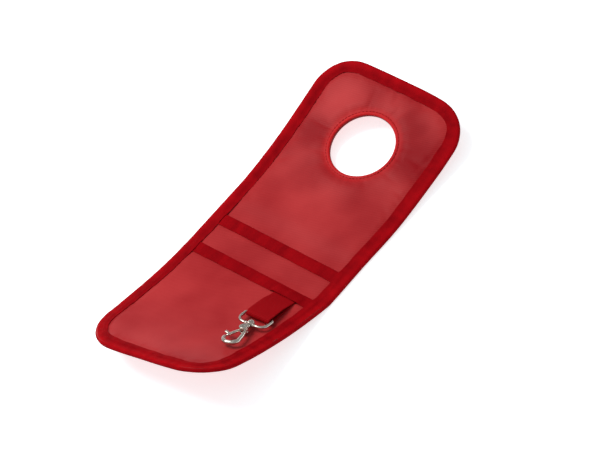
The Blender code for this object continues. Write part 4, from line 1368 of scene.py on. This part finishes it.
cheek_thick = (BOSS_HEIGHT - SLOT_HEIGHT) / 2
cheeks = [cheek(side * (SLOT_HEIGHT + cheek_thick) / 2, cheek_thick) for side in (-1, 1)]
web_line = [(-0.0024, -0.0016), (-0.0025, 0.0), (-0.0024, 0.0016)]
web = rod([(x, BOSS_ALONG + y, 0.0) for x, y in web_line], 0.0011, flat=2.4)
root = rod([(x, BOSS_ALONG - 0.0026, 0.0) for x in (-0.0012, 0.0014)], 0.0009, flat=2.8)
claw_bar = rod(claw_line, [HOOK_WIRE * share for share in swell])
hook_body = cast(
    "hook_body_cast", [claw_bar, turned(stem), *cheeks, web, root], hook_frame, nickel,
)
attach(hook_body, "hook")
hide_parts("hook_body")

steel = Finish("steel", Metallic=1.0)
where = steel.node("ShaderNodeTexCoord", {}, output="Object")
drawn = steel.node("ShaderNodeMapping", {}, {"Vector": where, "Scale": (4000.0, 4000.0, 300.0)})
drawn = steel.speckle(drawn, scale=1.0)
steel.feed(Base_Color=steel.between(drawn, (0.40, 0.40, 0.40), (0.62, 0.61, 0.60)))
steel.feed(Roughness=0.22 + drawn * 0.2)
for node in ("gate_pin", "gate_spring"):
    kept = frame["nodes"][node]
    kept.data.materials.clear()
    kept.data.materials.append(steel.material)
    kept.data.shade_smooth()


# ---------------------------------------------------------------- Gate
# A cast lever on the pin, pushed out against the claw's tip by the spring. Its eyelet sits in the
# boss's slot, and a thumb tab stands out near its tip.

GATE_WIRE = 0.00125
GATE_EYELET = 0.0021
GATE_BORE = 0.0010
GATE_THICK = 0.0014
GATE_PLAY = 0.0003
GATE_TAB = 0.0050
GATE_VOXEL = 0.00012
ARM_RADII = (0.0011, 0.0012, 0.00135, 0.0014, 0.0014, 0.00135, 0.00125)
TAB_RADII = ((0.0, 0.0010), (0.3, 0.0011), (0.6, 0.0014), (0.85, 0.0017), (1.0, 0.0014))

pin = Vector((PIN_OFFSET, BOSS_ALONG, 0.0))
tip = Vector(claw[-1])
reach = (tip - pin).length - HOOK_WIRE * 0.55 - GATE_WIRE
ahead = (tip - pin).normalized()
outward = Vector((ahead.y, -ahead.x, 0.0))
low = -SLOT_HEIGHT / 2 + GATE_PLAY
high = low + GATE_THICK
eyelet_section = [(high, GATE_BORE), (high, GATE_EYELET), (low, GATE_EYELET), (low, GATE_BORE)]
eyelet = turned(eyelet_section, axis="Z")
start = GATE_EYELET * 0.9
arm = rod([ahead * (start + (reach - start) * t) for t in np.linspace(0, 1, 7)], ARM_RADII, flat=0.8)
tab_root = ahead * (reach - 1.5 * GATE_WIRE)
tab_line = [tab_root + outward * GATE_TAB * share for share, _ in TAB_RADII]
tab = rod(tab_line, [radius for _, radius in TAB_RADII], flat=0.65)
gate_place = hook_frame @ Matrix.Translation(pin)
gate = cast("gate_lever_cast", [eyelet, arm, tab], gate_place, nickel, GATE_VOXEL)
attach(gate, "gate")
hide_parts("gate_lever")


# ---------------------------------------------------------------- Table, light and camera
# A plain white table top, one large soft light from behind on the left, and a weak fill.

FLOOR_REACH = 3.0
FLOOR_DROP = 0.0002

floor_finish = Finish(
    "table_top", Roughness=0.9, Specular_IOR_Level=0.1, Emission_Color=(1.0, 1.0, 1.0, 1.0),
    Emission_Strength=0.68,
)
where = floor_finish.node("ShaderNodeTexCoord", {}, output="Object")
cloud = floor_finish.speckle(where, scale=3.0)
floor_finish.feed(Base_Color=floor_finish.between(cloud, (0.76, 0.88, 0.92), (0.78, 0.90, 0.94)))
corners = [(-1, -1), (1, -1), (1, 1), (-1, 1)]
floor = piece(
    "table_top", [(x * FLOOR_REACH, y * FLOOR_REACH, -FLOOR_DROP) for x, y in corners],
    [(0, 1, 2, 3)], floor_finish,
)

CAMERA_TARGET = Vector((-0.00209, 0.02035, 0.0))
CAMERA_AZIMUTH = 55.426
CAMERA_ELEVATION = 48.657
CAMERA_ROLL = -20.457
CAMERA_DISTANCE = 2.60987


def spot_from(azimuth, elevation, distance):
    """A place seen from the panel at that azimuth and elevation."""
    a, e = math.radians(azimuth), math.radians(elevation)
    way = Vector((math.sin(a) * math.cos(e), -math.cos(a) * math.cos(e), math.sin(e)))
    return CAMERA_TARGET + way * distance


def soft_light(name, azimuth, elevation, distance, size, power, colour):
    """A round soft box that faces the panel."""
    light = bpy.data.lights.new(name, "AREA")
    light.shape = "DISK"
    light.size = size
    light.energy = power
    light.color = colour
    obj = bpy.data.objects.new(name, light)
    bpy.context.scene.collection.objects.link(obj)
    obj.location = spot_from(azimuth, elevation, distance)
    obj.rotation_euler = (CAMERA_TARGET - obj.location).to_track_quat("-Z", "Y").to_euler()


soft_light(
    "key", azimuth=284.0, elevation=60.0, distance=1.6, size=1.0, power=21.0,
    colour=(1.0, 0.985, 0.965),
)
soft_light(
    "fill", azimuth=20.0, elevation=70.0, distance=1.8, size=1.6, power=3.0,
    colour=(0.96, 0.98, 1.0),
)

world = bpy.data.worlds.new("studio")
bpy.context.scene.world = world
world.use_nodes = True
background = world.node_tree.nodes["Background"]
background.inputs["Color"].default_value = (0.97, 0.98, 1.0, 1.0)
background.inputs["Strength"].default_value = 0.36
bpy.context.scene.view_settings.view_transform = "Standard"

camera_data = bpy.data.cameras.new("camera")
camera_data.lens = 194.4
camera_data.sensor_width = 36.0
camera = bpy.data.objects.new("camera", camera_data)
bpy.context.scene.collection.objects.link(camera)
camera.location = spot_from(CAMERA_AZIMUTH, CAMERA_ELEVATION, CAMERA_DISTANCE)
look = (CAMERA_TARGET - camera.location).to_track_quat("-Z", "Y")
roll = Matrix.Rotation(math.radians(CAMERA_ROLL), 3, "Z").to_quaternion()
camera.rotation_mode = "QUATERNION"
camera.rotation_quaternion = look @ roll
bpy.context.scene.camera = camera
